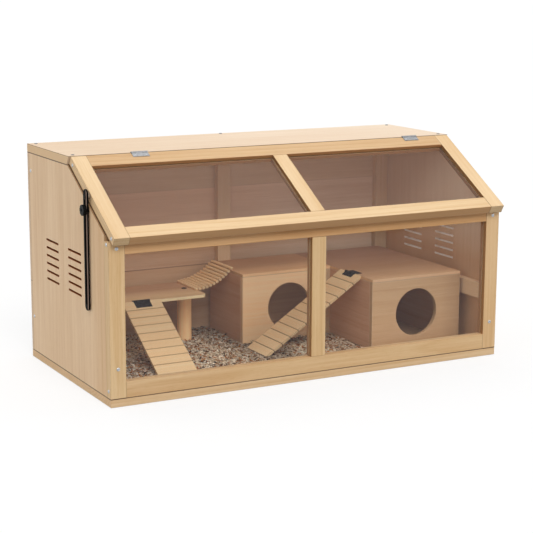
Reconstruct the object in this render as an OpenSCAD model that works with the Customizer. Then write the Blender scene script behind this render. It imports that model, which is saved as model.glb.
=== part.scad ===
// Wooden small-animal cage with a sloped window lid, a slotted lid stay and an inside playground.
// Millimetres. Origin at the middle of the base board's underside, +X along the length,
// -Y towards the front windows, +Z up.

/* [Cage] */
// Outside length of the cage
body_w = 1000; // [970:1:1060]
// Depth of the cage from the front frame to the back boards
body_d = 496; // [480:1:530]
// Height to the top of the flat roof
body_h = 513; // [500:1:550]
// Thickness of the base board
base_t = 18; // [14:1:22]
// Thickness of the two side panels
side_t = 18; // [14:1:20]
// Thickness of the back boards
back_t = 12; // [10:1:16]
// Height of the lowest back board
back_low_h = 169; // [150:1:190]
// Height of the middle back board
back_mid_h = 193; // [170:1:210]
// Thickness of the roof board
roof_t = 20; // [18:1:24]
// Depth of the roof from the back to the lid hinge
roof_d = 274; // [262:1:284]
// Face width of posts, battens and mullions
timber_w = 36; // [32:1:40]
// Thickness of the front frame
front_t = 22; // [20:1:26]
// Thickness of the inside battens and side rails
batten_t = 18; // [14:1:20]
// Face height of the front top rail
top_rail_h = 28; // [26:1:36]
// Face height of the side rails
side_rail_h = 38; // [30:1:42]
// Height of the right side rail's upper edge
right_rail_z = 176; // [160:1:190]

/* [Windows] */
// Thickness of the clear panes
pane_t = 3; // [2:0.5:4]
// Depth a pane sits in its grooves
pane_seat = 6; // [4:0.5:8]
// Free play of a pane in its grooves
pane_play = 0.2; // [0.1:0.05:0.4]
// Distance of both mullions right of the middle
mullion_x = 6.5; // [-10:0.5:10]

/* [Lid] */
// Thickness of the lid frame
lid_t = 20; // [18:1:22]
// Slope of the closed lid in degrees
lid_slope = 30.4; // [29:0.1:32]
// Length of the lid past the front frame, down the slope
lid_over = 27.6; // [22:0.1:36]
// Width of the upper lid rail
lid_rail_w = 38; // [34:1:42]
// Distance of the lid's ends inside the cage's sides
lid_inset = 4; // [0:0.5:6]
// Open seam between the lid and the roof
lid_gap = 2; // [2:0.1:3]

/* [Lid hinges] */
// Place of the left lid hinge as a share of the cage's length from its middle
hinge_left_share = 0.333; // [0.25:0.001:0.38]
// Place of the right lid hinge as a share of the cage's length from its middle
hinge_right_share = 0.385; // [0.25:0.001:0.4]
// Length of each lid hinge
hinge_l = 40; // [34:1:50]
// Radius of every hinge knuckle
knuckle_r = 3; // [2.8:0.1:3.4]
// Radius of every hinge pin
pin_r = 1.2; // [1:0.1:1.4]
// Radial running clearance in every hinge
pin_play = 0.06; // [0.03:0.01:0.1]
// Thickness of every hinge leaf
leaf_t = 1.5; // [1.2:0.1:1.6]
// Length of a lid hinge leaf
leaf_l = 16; // [13:1:20]

/* [Lid stay] */
// Distance of the stay's pivot in front of the lid hinge
stay_y = 109; // [95:1:120]
// Half of the lid's opening angle in degrees
stay_half = 34; // [31:0.5:36]
// Distance of the clamping stud below the stay's pivot
stud_drop = 29; // [27:1:40]
// Length of the stay between its end centres
stay_len = 238; // [230:1:255]
// Distance of the stay's upper end centre above its pivot
stay_head = 5; // [0:1:8]
// Width of the stay bar
stay_w = 22; // [18:1:26]
// Thickness of the stay bar
stay_t = 4; // [2:0.5:5]
// Radius of the clamping stud
stud_r = 3; // [2.5:0.1:3.4]
// Height of the spacers behind the stay
spacer_h = 2; // [1.5:0.1:3]
// Radius of the clamping knob
knob_r = 12; // [10:0.5:13]
// Depth of the clamping knob
knob_h = 8; // [7:1:12]

/* [Vents] */
// Length of a vent slot
vent_l = 80; // [60:1:84]
// Height of a vent slot
vent_h = 5; // [4:0.5:8]
// Spacing of the slots in a column
vent_pitch = 18.3; // [16:0.1:20]
// Height of the lowest slot
vent_z = 213; // [200:1:230]
// Number of slots in a column
vent_n = 6; // [4:1:6]

/* [Platform] */
// Height of the platform's upper face
platform_z = 152; // [140:1:160]
// Share of the inside length that the platform takes
platform_share = 0.3693; // [0.35:0.001:0.385]
// Depth of the platform from the back posts
platform_d = 163; // [150:1:175]
// Thickness of the platform and the den roof
shelf_t = 7; // [6:1:12]
// Radius of the round platform leg
leg_r = 17.5; // [14:0.5:19]

/* [Den] */
// Height of the den roof's upper face
den_z = 195; // [185:1:205]
// Share of the inside length that the left room takes
left_room_share = 0.2531; // [0.24:0.001:0.265]
// Share of the inside length that the right room takes
right_room_share = 0.2604; // [0.25:0.001:0.27]
// Depth of the left room from the back posts
left_room_d = 180; // [165:1:195]
// Depth of the right room from the back posts
right_room_d = 378; // [360:1:390]
// Distance of the den from the right wall
den_gap = 27; // [24:1:32]
// Thickness of the den walls
den_t = 12; // [9:1:15]
// Radius of the two round doors
door_r = 58; // [45:1:60]
// Height of the round doors' centres
door_z = 105; // [98:1:110]

/* [Ramps] */
// Width of both ramps
ramp_w = 96; // [80:1:110]
// Thickness of the ramp boards
ramp_t = 6; // [5:0.5:10]
// Horizontal reach of the left ramp
left_run = 202; // [185:1:215]
// Horizontal reach of the right ramp
right_run = 255; // [235:1:265]
// Spacing of the tread grooves
tread_pitch = 25.5; // [20:0.5:32]
// Width of a tread groove
tread_w = 2; // [1.5:0.1:3]
// Length of a ramp hinge
ramp_hinge_l = 40; // [34:1:50]
// Length of the left ramp hinge's leaf on the platform
left_fixed_l = 10; // [8:1:30]
// Length of the left ramp hinge's leaf on the ramp
left_moving_l = 20; // [12:1:24]
// Length of the right ramp hinge's leaf on the den roof
right_fixed_l = 18; // [8:1:30]
// Length of the right ramp hinge's leaf on the ramp
right_moving_l = 12; // [12:1:24]

/* [Bridge] */
// Length of the bridge dowels
dowel_l = 110; // [90:1:112]
// Radius of the bridge dowels
dowel_r = 3.9; // [3:0.1:4.2]
// Spacing of the bridge dowels
dowel_pitch = 9.6; // [8.8:0.1:11]
// Sag of the bridge below a straight line
bridge_sag = 10; // [7:0.5:12]
// Radius of the two bridge cords
cord_r = 1; // [0.8:0.1:1.2]
// Width of the end cleats
cleat_w = 8; // [7:1:12]
// Height of the end cleats
cleat_h = 6; // [4:0.5:7]

/* [Litter and screws] */
// Depth of the litter on the base board
litter_h = 10; // [6:1:14]
// Radius of a screw head
screw_r = 4; // [3:0.1:5]

/* [Hidden] */
$fn = 48;
eps = 0.5;
hw = body_w / 2;
hd = body_d / 2;
hinge_left_x = -body_w * hinge_left_share;
hinge_right_x = body_w * hinge_right_share;
in_x = hw - side_t;
front_in = -hd + front_t;
back_in = hd - back_t;
post_in = back_in - batten_t;
roof_z = body_h - roof_t;
axis_y = hd - roof_d;
axis_z = body_h;
run_gap = 0.3;
face_gap = 0.2;
rest_gap = 1.8;
shank_r = 1.6;
shank_l = 9;
shank_play = 0.1;
head_h = 1.8;
sn = sin(lid_slope);
cs = cos(lid_slope);
tn = tan(lid_slope);
lid_s0 = lid_gap / 2;
lid_len = (hd + axis_y) / cs + lid_over;
lid_hw = hw - lid_inset;
lid_in = lid_hw - timber_w;
pane_y = -hd + front_t / 2;
pane_in = pane_seat - pane_play;
groove_t = pane_t + 2 * pane_play;
bottom_z = base_t + timber_w;
litter_z = base_t + litter_h;

// Height of the closed lid's underside above a point on the depth axis
function under_z(y) = axis_z + (y - axis_y) * tn - (lid_t + rest_gap) / cs;
// Depth at which the lid's underside meets a height
function under_y(z) = axis_y + (z - axis_z + (lid_t + rest_gap) / cs) / tn;
// Depth of the roof's leaning front edge at a height
function roof_front(z) = axis_y + lid_s0 * cs + (axis_z + lid_s0 * sn - z) / cs * sn;

top_rail_z = under_z(-hd) - top_rail_h;

stay_py = axis_y - stay_y;
stay_pz = axis_z - stay_y * tan(stay_half);
stud_z = stay_pz - stud_drop;
stay_x = -hw - spacer_h - face_gap;
slot_w = 2 * stud_r + 2;
slot_top = stay_pz - 11;
slot_low = stay_pz - stay_len + 6;

platform_l = 2 * in_x * platform_share;
platform_x = -in_x + platform_l;
platform_y = post_in - platform_d;
leg_x = platform_x - cleat_w - leg_r + 4;
leg_y = platform_y + platform_d * 0.53;

den_x2 = in_x - den_gap;
den_x1 = den_x2 - 2 * in_x * right_room_share;
den_x0 = den_x1 - 2 * in_x * left_room_share;
den_ly = post_in - left_room_d;
den_ry = post_in - right_room_d;
den_wall_z = den_z - shelf_t;
left_door_x = (den_x0 + den_x1) / 2 + 6;
right_door_x = (den_x1 + den_x2) / 2;

knuckle_off = knuckle_r + run_gap;
ramp_left_x = -in_x + platform_l * 0.517;
ramp_left_y = platform_y - knuckle_off;
ramp_left_z = platform_z + leaf_t;
ramp_right_y = (den_ry + den_ly) / 2;
ramp_right_x = den_x1 - knuckle_off;
ramp_right_z = den_z + leaf_t;

bridge_y1 = post_in - 4;
bridge_y0 = bridge_y1 - dowel_l;
ax = platform_x - 2;
az = platform_z + cleat_h / 2;
bx = den_x0 + 2;
bz = den_z + cleat_h / 2;
chord = sqrt(pow(bx - ax, 2) + pow(bz - az, 2));
arc_r = (chord * chord / 4 + bridge_sag * bridge_sag) / (2 * bridge_sag);
chord_a = atan2(bz - az, bx - ax);
half_a = asin(chord / 2 / arc_r);
arc_x = (ax + bx) / 2 - (arc_r - bridge_sag) * sin(chord_a);
arc_z = (az + bz) / 2 + (arc_r - bridge_sag) * cos(chord_a);
arc_a0 = chord_a - 90 - half_a;
dowel_room = dowel_r + 0.5;
dowel_a0 = -acos((platform_x + dowel_room - arc_x) / arc_r);
dowel_a1 = -acos((den_x0 - dowel_room - arc_x) / arc_r);
dowel_n = floor((dowel_a1 - dowel_a0) * PI / 180 * arc_r / dowel_pitch) + 1;
dowel_step = (dowel_a1 - dowel_a0) / (dowel_n - 1);

// Box between two corners
module box(x0, x1, y0, y1, z0, z1) {
    translate([x0, y0, z0])
        cube([x1 - x0, y1 - y0, z1 - z0]);
}

// Slab across the length from an outline in depth and height
module slab_x(x0, x1, pts) {
    translate([x0, 0, 0])
        rotate([90, 0, 90])
            linear_extrude(x1 - x0)
                polygon(pts);
}

// Lid frame: down the slope is -Y, out of the lid is +Z
module on_lid() {
    translate([0, axis_y, axis_z])
        rotate([lid_slope, 0, 0])
            children();
}

// Screw standing on a face, with its head along +Z
module screw(head = screw_r, deep = shank_l) {
    cylinder(r = head, h = head_h * 0.45);
    translate([0, 0, head_h * 0.45])
        cylinder(r1 = head, r2 = head * 0.55, h = head_h * 0.55);
    if (deep > 0)
        translate([0, 0, -deep])
            cylinder(r = shank_r, h = deep);
}

// Hole for a screw's shank
module screw_hole() {
    translate([0, 0, -shank_l - eps])
        cylinder(r = shank_r + shank_play, h = shank_l + 2 * eps);
}

// Places of the screws on the roof
module at_roof_screws() {
    for (p = [[-hw + 16, hd - 17], [-hw + 16, axis_y + 18], [0, hd - 10], [hw - 16, hd - 17],
        [hw - 16, axis_y + 18]])
        translate([p[0], p[1], body_h])
            children();
}

// Places of the screws on one side, over the back post and the front post
module at_side_screws() {
    for (p = [[back_in - batten_t / 2, roof_z - 42], [back_in - batten_t / 2, body_h * 0.2]])
        translate([-hw, p[0], p[1]])
            rotate([0, -90, 0])
                children();
}

// Places of the screws in the side face of a front post
module at_post_screws() {
    for (z = [under_z(-hd) - 6, base_t + 16])
        translate([-hw, -hd + front_t / 2, z])
            rotate([0, -90, 0])
                children();
}

// Places of the screws in the front face of a front post
module at_front_screws() {
    for (z = [under_z(-hd) - 14.4, base_t + 65])
        translate([-hw + timber_w / 2, -hd, z])
            rotate([90, 0, 0])
                children();
}

// Places of the screws in the side face of a lid stile
module at_lid_screws() {
    for (s = [20, lid_len - 13])
        on_lid()
            translate([-lid_hw, -s, -lid_t / 2])
                rotate([0, -90, 0])
                    children();
}

// One vent slot through a side panel
module vent(y, z) {
    box(-hw - eps, -in_x + eps, y - vent_l / 2 + vent_h / 2, y + vent_l / 2 - vent_h / 2,
        z - vent_h / 2, z + vent_h / 2);
    for (d = [-1, 1])
        translate([-hw - eps, y + d * (vent_l / 2 - vent_h / 2), z])
            rotate([0, 90, 0])
                cylinder(r = vent_h / 2, h = side_t + 2 * eps);
}

// Side panel as seen on the left
module side_panel() {
    difference() {
        slab_x(-hw, -in_x, [[front_in, base_t], [back_in, base_t], [back_in, roof_z],
            [under_y(roof_z), roof_z], [front_in, under_z(front_in)]]);
        for (i = [0 : vent_n - 1]) {
            vent(hd * 0.367, vent_z + i * vent_pitch);
            vent(-hd * 0.1976, vent_z + i * vent_pitch);
        }
        at_side_screws()
            screw_hole();
        children();
    }
}

module base_board() {
    color([0.86, 0.72, 0.54])
        box(-hw, hw, -hd, hd, 0, base_t);
}

module left_side_panel() {
    color([0.8, 0.68, 0.55])
        side_panel()
            translate([-hw - eps, stay_py, stud_z])
                rotate([0, 90, 0])
                    cylinder(r = stud_r + shank_play, h = 12 + eps);
}

module right_side_panel() {
    color([0.8, 0.68, 0.55])
        mirror([1, 0, 0])
            side_panel();
}

module back_board(z0, z1) {
    color([0.82, 0.68, 0.52])
        box(-hw, hw, back_in, hd, z0, z1);
}

module back_board_lower() {
    back_board(base_t, base_t + back_low_h);
}

module back_board_middle() {
    back_board(base_t + back_low_h, base_t + back_low_h + back_mid_h);
}

module back_board_upper() {
    back_board(base_t + back_low_h + back_mid_h, roof_z);
}

module back_center_batten() {
    color([0.84, 0.7, 0.52])
        box(-timber_w / 2, timber_w / 2, post_in, back_in, base_t, roof_z);
}

module back_left_post() {
    color([0.84, 0.7, 0.52])
        box(-in_x, -in_x + timber_w, post_in, back_in, base_t, roof_z);
}

module back_right_post() {
    color([0.84, 0.7, 0.52])
        box(in_x - timber_w, in_x, post_in, back_in, base_t, roof_z);
}

module front_post() {
    difference() {
        box(-hw, -hw + timber_w, -hd, front_in, base_t, under_z(-hd));
        box(-hw + timber_w - pane_seat, -hw + timber_w + eps, pane_y - groove_t / 2,
            pane_y + groove_t / 2, bottom_z - pane_seat, top_rail_z + pane_seat);
        at_post_screws()
            screw_hole();
        at_front_screws()
            screw_hole();
    }
}

module front_left_post() {
    color([0.84, 0.7, 0.5])
        front_post();
}

module front_right_post() {
    color([0.84, 0.7, 0.5])
        mirror([1, 0, 0])
            front_post();
}

module front_top_rail() {
    color([0.85, 0.7, 0.5])
        difference() {
            slab_x(-hw + timber_w, hw - timber_w, [[-hd, top_rail_z], [front_in, top_rail_z],
                [front_in, under_z(front_in)], [-hd, under_z(-hd)]]);
            box(-hw, hw, pane_y - groove_t / 2, pane_y + groove_t / 2, top_rail_z - eps,
                top_rail_z + pane_seat);
        }
}

module front_bottom_rail() {
    color([0.85, 0.7, 0.5])
        difference() {
            box(-hw + timber_w, hw - timber_w, -hd, front_in, base_t, bottom_z);
            box(-hw, hw, pane_y - groove_t / 2, pane_y + groove_t / 2, bottom_z - pane_seat,
                bottom_z + eps);
        }
}

module front_mullion() {
    color([0.84, 0.7, 0.5])
        translate([mullion_x, 0, 0])
            difference() {
                box(-timber_w / 2, timber_w / 2, -hd, front_in, bottom_z, top_rail_z);
                for (d = [-1, 1])
                    box(min(d * (timber_w / 2 - pane_seat), d * (timber_w / 2 + eps)),
                        max(d * (timber_w / 2 - pane_seat), d * (timber_w / 2 + eps)), pane_y - groove_t / 2,
                        pane_y + groove_t / 2, bottom_z - eps, top_rail_z + eps);
            }
}

// Front pane between the edges of two uprights
module front_pane(x0, x1) {
    color([0.7, 0.62, 0.56, 0.4])
        box(x0 - pane_in, x1 + pane_in, pane_y - pane_t / 2, pane_y + pane_t / 2,
            bottom_z - pane_seat, top_rail_z + pane_in);
}

module front_left_pane() {
    front_pane(-hw + timber_w, mullion_x - timber_w / 2);
}

module front_right_pane() {
    front_pane(mullion_x + timber_w / 2, hw - timber_w);
}

// Room for a lid hinge's knuckles at the seam
module knuckle_room(x) {
    on_lid()
        translate([x - hinge_l / 2 - eps, 0, 0])
            rotate([0, 90, 0])
                cylinder(r = knuckle_r + 2 * run_gap, h = hinge_l + 2 * eps);
}

module roof_panel() {
    color([0.92, 0.82, 0.68])
        difference() {
            slab_x(-hw, hw, [[hd, roof_z], [hd, body_h], [roof_front(body_h), body_h],
                [roof_front(roof_z), roof_z]]);
            at_roof_screws()
                screw_hole();
            knuckle_room(hinge_left_x);
            knuckle_room(hinge_right_x);
        }
}

module left_side_rail() {
    color([0.84, 0.7, 0.52])
        box(-in_x, -in_x + batten_t, front_in, post_in, platform_z - shelf_t - side_rail_h,
            platform_z - shelf_t);
}

module right_side_rail() {
    color([0.84, 0.7, 0.52])
        box(in_x - batten_t, in_x, front_in, post_in, right_rail_z - side_rail_h, right_rail_z);
}

// Shaft of the screw that holds the platform on its leg
module leg_shaft(r) {
    translate([leg_x, leg_y, platform_z - shelf_t - 20])
        cylinder(r = r, h = shelf_t + 20);
}

module platform() {
    corner = 15;
    color([0.84, 0.7, 0.53])
        difference() {
            translate([0, 0, platform_z - shelf_t])
                linear_extrude(shelf_t)
                    union() {
                        translate([-in_x, platform_y + corner])
                            square([platform_l, platform_d - corner]);
                        translate([-in_x, platform_y])
                            square([platform_l - corner, corner + 1]);
                        translate([platform_x - corner, platform_y + corner])
                            circle(r = corner);
                    }
            leg_shaft(2.6);
            translate([leg_x, leg_y, platform_z - 1])
                cylinder(r = 2.6, h = 2);
        }
}

module platform_leg() {
    color([0.82, 0.64, 0.46])
        difference() {
            translate([leg_x, leg_y, base_t])
                cylinder(r = leg_r, h = platform_z - shelf_t - base_t);
            translate([leg_x, leg_y, platform_z - shelf_t - 21])
                cylinder(r = 2.6, h = 22);
        }
}

module leg_screw() {
    color([0.12, 0.12, 0.12]) {
        leg_shaft(2.5);
        translate([leg_x, leg_y, platform_z])
            cylinder(r = 6.5, h = 1.2);
    }
}

module den_roof() {
    color([0.82, 0.67, 0.5])
        difference() {
            translate([0, 0, den_wall_z])
                linear_extrude(shelf_t)
                    polygon([[den_x0, den_ly], [den_x1, den_ly], [den_x1, den_ry],
                        [den_x2, den_ry], [den_x2, post_in], [den_x0, post_in]]);
            cord_path(cord_r + run_gap);
        }
}

module den_front(x0, x1, y, door_x) {
    color([0.8, 0.64, 0.47])
        difference() {
            box(x0, x1, y, y + den_t, base_t, den_wall_z);
            translate([door_x, y - eps, door_z])
                rotate([-90, 0, 0])
                    cylinder(r = door_r, h = den_t + 2 * eps);
        }
}

module den_left_front() {
    den_front(den_x0, den_x1, den_ly, left_door_x);
}

module den_right_front() {
    den_front(den_x1, den_x2, den_ry, right_door_x);
}

module den_left_wall() {
    color([0.78, 0.6, 0.44])
        box(den_x0, den_x0 + den_t, den_ly + den_t, post_in, base_t, den_wall_z);
}

module den_middle_wall() {
    color([0.78, 0.6, 0.44])
        box(den_x1, den_x1 + den_t, den_ry + den_t, den_ly + den_t, base_t, den_wall_z);
}

module den_right_wall() {
    color([0.78, 0.6, 0.44])
        box(den_x2 - den_t, den_x2, den_ry + den_t, post_in, base_t, den_wall_z);
}

module bridge_left_cleat() {
    color([0.8, 0.64, 0.47])
        box(platform_x - cleat_w, platform_x, bridge_y0, bridge_y1, platform_z,
            platform_z + cleat_h);
}

module bridge_right_cleat() {
    color([0.8, 0.64, 0.47])
        box(den_x0, den_x0 + cleat_w, bridge_y0, bridge_y1, den_z, den_z + cleat_h);
}

module bridge_dowels() {
    color([0.82, 0.66, 0.48])
        for (i = [0 : dowel_n - 1])
            translate([arc_x + arc_r * cos(dowel_a0 + i * dowel_step), bridge_y0,
                arc_z + arc_r * sin(dowel_a0 + i * dowel_step)])
                rotate([-90, 0, 0])
                    cylinder(r = dowel_r, h = dowel_l);
}

// Run of both bridge cords, or of the notches that they need
module cord_path(r) {
    for (y = [bridge_y0 + 12, bridge_y1 - 12])
        translate([arc_x, y, arc_z])
            rotate([90, 0, 0])
                rotate([0, 0, arc_a0])
                    rotate_extrude(angle = 2 * half_a)
                        translate([arc_r, 0])
                            circle(r = r);
}

module bridge_cords() {
    color([0.75, 0.62, 0.45])
        cord_path(cord_r);
}

module litter() {
    color([0.72, 0.64, 0.52])
        difference() {
            box(-in_x, in_x, front_in, back_in, base_t, litter_z);
            box(-in_x - eps, -in_x + timber_w, post_in, back_in + eps, 0, litter_z + eps);
            box(-timber_w / 2, timber_w / 2, post_in - eps, back_in + eps, 0, litter_z + eps);
            box(in_x - timber_w, in_x + eps, post_in, back_in + eps, 0, litter_z + eps);
            box(den_x0, den_x2, den_ly, back_in + eps, 0, litter_z + eps);
            box(den_x1, den_x2, den_ry, back_in + eps, 0, litter_z + eps);
            translate([leg_x, leg_y, 0])
                cylinder(r = leg_r + run_gap, h = litter_z + eps);
        }
}

// Lid hinge's leaf in the seam, with the outer knuckles and the pin
module roof_leaf(x) {
    third = hinge_l / 3;
    color([0.62, 0.63, 0.64])
        on_lid()
            translate([x, 0, 0]) {
                difference() {
                    translate([-hinge_l / 2, lid_s0 - leaf_t, -leaf_l - 2])
                        cube([hinge_l, leaf_t, leaf_l + 2]);
                    translate([-third / 2 - run_gap, -5, -knuckle_r - 2 * run_gap])
                        cube([third + 2 * run_gap, 10, 10]);
                }
                for (d = [-1, 1])
                    translate([d * third - third / 2, 0, 0])
                        rotate([0, 90, 0])
                            cylinder(r = knuckle_r, h = third);
                translate([-hinge_l / 2, 0, 0])
                    rotate([0, 90, 0])
                        cylinder(r = pin_r, h = hinge_l);
            }
}

// Lid hinge's leaf on top of the lid, with the middle knuckle
module lid_leaf(x) {
    third = hinge_l / 3;
    color([0.62, 0.63, 0.64])
        on_lid()
            translate([x, 0, 0])
                difference() {
                    union() {
                        translate([-hinge_l / 2, -leaf_l, 0])
                            cube([hinge_l, leaf_l - knuckle_off - run_gap, leaf_t]);
                        translate([-third / 2 + run_gap, -leaf_l, 0])
                            cube([third - 2 * run_gap, leaf_l, leaf_t]);
                        translate([-third / 2 + run_gap, 0, 0])
                            rotate([0, 90, 0])
                                cylinder(r = knuckle_r, h = third - 2 * run_gap);
                    }
                    translate([-third, 0, 0])
                        rotate([0, 90, 0])
                            cylinder(r = pin_r + pin_play, h = 2 * third);
                }
}

module left_hinge_roof_leaf() {
    roof_leaf(hinge_left_x);
}

module right_hinge_roof_leaf() {
    roof_leaf(hinge_right_x);
}

module left_hinge_lid_leaf() {
    lid_leaf(hinge_left_x);
}

module right_hinge_lid_leaf() {
    lid_leaf(hinge_right_x);
}

module stay_stud() {
    color([0.25, 0.25, 0.26])
        translate([-hw, stay_py, stud_z])
            rotate([0, -90, 0]) {
                cylinder(r = stud_r + 6, h = spacer_h);
                translate([0, 0, -11])
                    cylinder(r = stud_r, h = 11 + spacer_h + stay_t + 2 * face_gap + knob_h - 1);
            }
}

module front_screws() {
    color([0.75, 0.76, 0.78]) {
        at_front_screws()
            screw();
        mirror([1, 0, 0])
            at_front_screws()
                screw();
    }
}

module side_screws() {
    color([0.75, 0.76, 0.78]) {
        at_side_screws()
            screw();
        at_post_screws()
            screw();
    }
}

module left_side_screws() {
    side_screws();
}

module right_side_screws() {
    mirror([1, 0, 0])
        side_screws();
}

module roof_screws() {
    color([0.75, 0.76, 0.78])
        at_roof_screws()
            screw();
}

// Groove for a pane through the middle of the lid's thickness
module lid_groove(x0, x1, s0, s1) {
    translate([x0, -s1, -lid_t / 2 - groove_t / 2])
        cube([x1 - x0, s1 - s0, groove_t]);
}

lid_r0 = lid_s0 + lid_rail_w;
lid_r1 = lid_len - timber_w;

module lid_stile() {
    difference() {
        on_lid()
            difference() {
                translate([-lid_hw, -lid_len, -lid_t])
                    cube([timber_w, lid_len - lid_s0, lid_t]);
                lid_groove(-lid_in - pane_seat, -lid_in + eps, lid_r0 - pane_seat,
                    lid_r1 + pane_seat);
            }
        at_lid_screws()
            screw_hole();
        children();
    }
}

module lid_left_stile() {
    color([0.93, 0.79, 0.6])
        lid_stile()
            translate([-lid_hw - eps, stay_py, stay_pz])
                rotate([0, 90, 0])
                    cylinder(r = stud_r + shank_play, h = 11 + eps);
}

module lid_right_stile() {
    color([0.93, 0.79, 0.6])
        mirror([1, 0, 0])
            lid_stile();
}

module lid_top_rail() {
    color([0.93, 0.79, 0.6])
        difference() {
            on_lid()
                difference() {
                    translate([-lid_in, -lid_r0, -lid_t])
                        cube([2 * lid_in, lid_rail_w, lid_t]);
                    lid_groove(-hw, hw, lid_r0 - pane_seat, lid_r0 + eps);
                }
            knuckle_room(hinge_left_x);
            knuckle_room(hinge_right_x);
        }
}

module lid_bottom_rail() {
    color([0.93, 0.79, 0.6])
        on_lid()
            difference() {
                translate([-lid_in, -lid_len, -lid_t])
                    cube([2 * lid_in, timber_w, lid_t]);
                lid_groove(-hw, hw, lid_r1 - eps, lid_r1 + pane_seat);
            }
}

module lid_mullion() {
    color([0.93, 0.79, 0.6])
        on_lid()
            translate([mullion_x, 0, 0])
                difference() {
                    translate([-timber_w / 2, -lid_r1, -lid_t])
                        cube([timber_w, lid_r1 - lid_r0, lid_t]);
                    lid_groove(-timber_w / 2 - eps, -timber_w / 2 + pane_seat, 0, lid_len);
                    lid_groove(timber_w / 2 - pane_seat, timber_w / 2 + eps, 0, lid_len);
                }
}

// Lid pane between the edges of two lid bars
module lid_pane(x0, x1) {
    color([0.7, 0.62, 0.56, 0.4])
        on_lid()
            translate([x0 - pane_in, -lid_r1 - pane_in, -lid_t / 2 - groove_t / 2])
                cube([x1 - x0 + 2 * pane_in, lid_r1 - lid_r0 + 2 * pane_in, pane_t]);
}

module lid_left_pane() {
    lid_pane(-lid_in, mullion_x - timber_w / 2);
}

module lid_right_pane() {
    lid_pane(mullion_x + timber_w / 2, lid_in);
}

module lid_screws() {
    color([0.75, 0.76, 0.78]) {
        at_lid_screws()
            screw();
        mirror([1, 0, 0])
            at_lid_screws()
                screw();
        for (x = [hinge_left_x, hinge_right_x], d = [-1, 1])
            on_lid()
                translate([x + d * (hinge_l / 2 - 6), -leaf_l + 5, leaf_t])
                    screw(2.4, 0);
    }
}

module stay_pivot() {
    color([0.25, 0.25, 0.26])
        translate([-lid_hw, stay_py, stay_pz])
            rotate([0, -90, 0]) {
                cylinder(r = stud_r + 3, h = lid_inset + spacer_h - 0.1);
                translate([0, 0, -10])
                    cylinder(r = stud_r, h = 10);
            }
}

module stay_bar() {
    color([0.08, 0.08, 0.08])
        translate([stay_x, stay_py, stay_pz])
            rotate([0, -90, 0])
                difference() {
                    union() {
                        for (x = [stay_head, -stay_len])
                            translate([x, 0, 0])
                                cylinder(r = stay_w / 2, h = stay_t);
                        translate([-stay_len, -stay_w / 2, 0])
                            cube([stay_len + stay_head, stay_w, stay_t]);
                    }
                    translate([0, 0, -eps])
                        cylinder(r = stud_r + shank_play, h = stay_t + 2 * eps);
                    for (z = [slot_top, slot_low])
                        translate([z - stay_pz, 0, -eps])
                            cylinder(r = slot_w / 2, h = stay_t + 2 * eps);
                    translate([slot_low - stay_pz, -slot_w / 2, -eps])
                        cube([slot_top - slot_low, slot_w, stay_t + 2 * eps]);
                }
}

module stay_rivet() {
    color([0.2, 0.2, 0.21])
        translate([stay_x, stay_py, stay_pz])
            rotate([0, -90, 0]) {
                cylinder(r = stud_r, h = stay_t);
                translate([0, 0, stay_t])
                    cylinder(r1 = stud_r + 2.6, r2 = stud_r + 1.2, h = 1.6);
            }
}

module stay_knob() {
    color([0.07, 0.07, 0.07])
        translate([stay_x - stay_t - face_gap, stay_py, stud_z])
            rotate([0, -90, 0])
                difference() {
                    cylinder(r = knob_r, h = knob_h);
                    translate([0, 0, -eps])
                        cylinder(r = stud_r + pin_play, h = knob_h + 2 * eps);
                    for (i = [0 : 7])
                        rotate([0, 0, i * 45 + 22.5])
                            translate([knob_r + 0.8, 0, -eps])
                                cylinder(r = 1.9, h = knob_h + 2 * eps);
                }
}

// Angle of a ramp whose face passes under its hinge and meets the litter
function ramp_angle(run, drop) = atan2(drop, run) - asin(leaf_t / sqrt(run * run + drop * drop));

// Ramp frame: hinge at the origin, reach along +X, width along Z, height along Y
module ramp_board(run, drop) {
    a = ramp_angle(run, drop);
    near = run_gap - knuckle_off + 0.4;
    face = run / cos(a);
    foot = ramp_t / sin(a);
    difference() {
        translate([0, 0, -ramp_w / 2])
            linear_extrude(ramp_w)
                polygon([[near, -leaf_t / cos(a) - near * tan(a)], [run, -drop],
                    [run - foot, -drop], [near, -(leaf_t + ramp_t) / cos(a) - near * tan(a)]]);
        translate([0, 0, -ramp_hinge_l / 2 - eps])
            cylinder(r = knuckle_r + run_gap, h = ramp_hinge_l + 2 * eps);
        rotate([0, 0, -a])
            for (s = [tread_pitch : tread_pitch : face - 0.75 * tread_pitch])
                translate([s, -leaf_t - 1.5, -ramp_w])
                    cube([tread_w, 4, 2 * ramp_w]);
    }
}

// Fixed leaf of a ramp hinge with the outer knuckles and the pin, in the ramp frame
module ramp_fixed(leaf) {
    third = ramp_hinge_l / 3;
    color([0.1, 0.1, 0.1]) {
        translate([-knuckle_off - leaf, -leaf_t, -ramp_hinge_l / 2])
            cube([leaf, leaf_t, ramp_hinge_l]);
        for (d = [-1, 1]) {
            translate([-knuckle_off - 1, -leaf_t, d * third - third / 2])
                cube([knuckle_off + 1, leaf_t, third]);
            translate([0, 0, d * third - third / 2])
                cylinder(r = knuckle_r, h = third);
        }
        translate([0, 0, -ramp_hinge_l / 2])
            cylinder(r = pin_r, h = ramp_hinge_l);
    }
}

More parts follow.
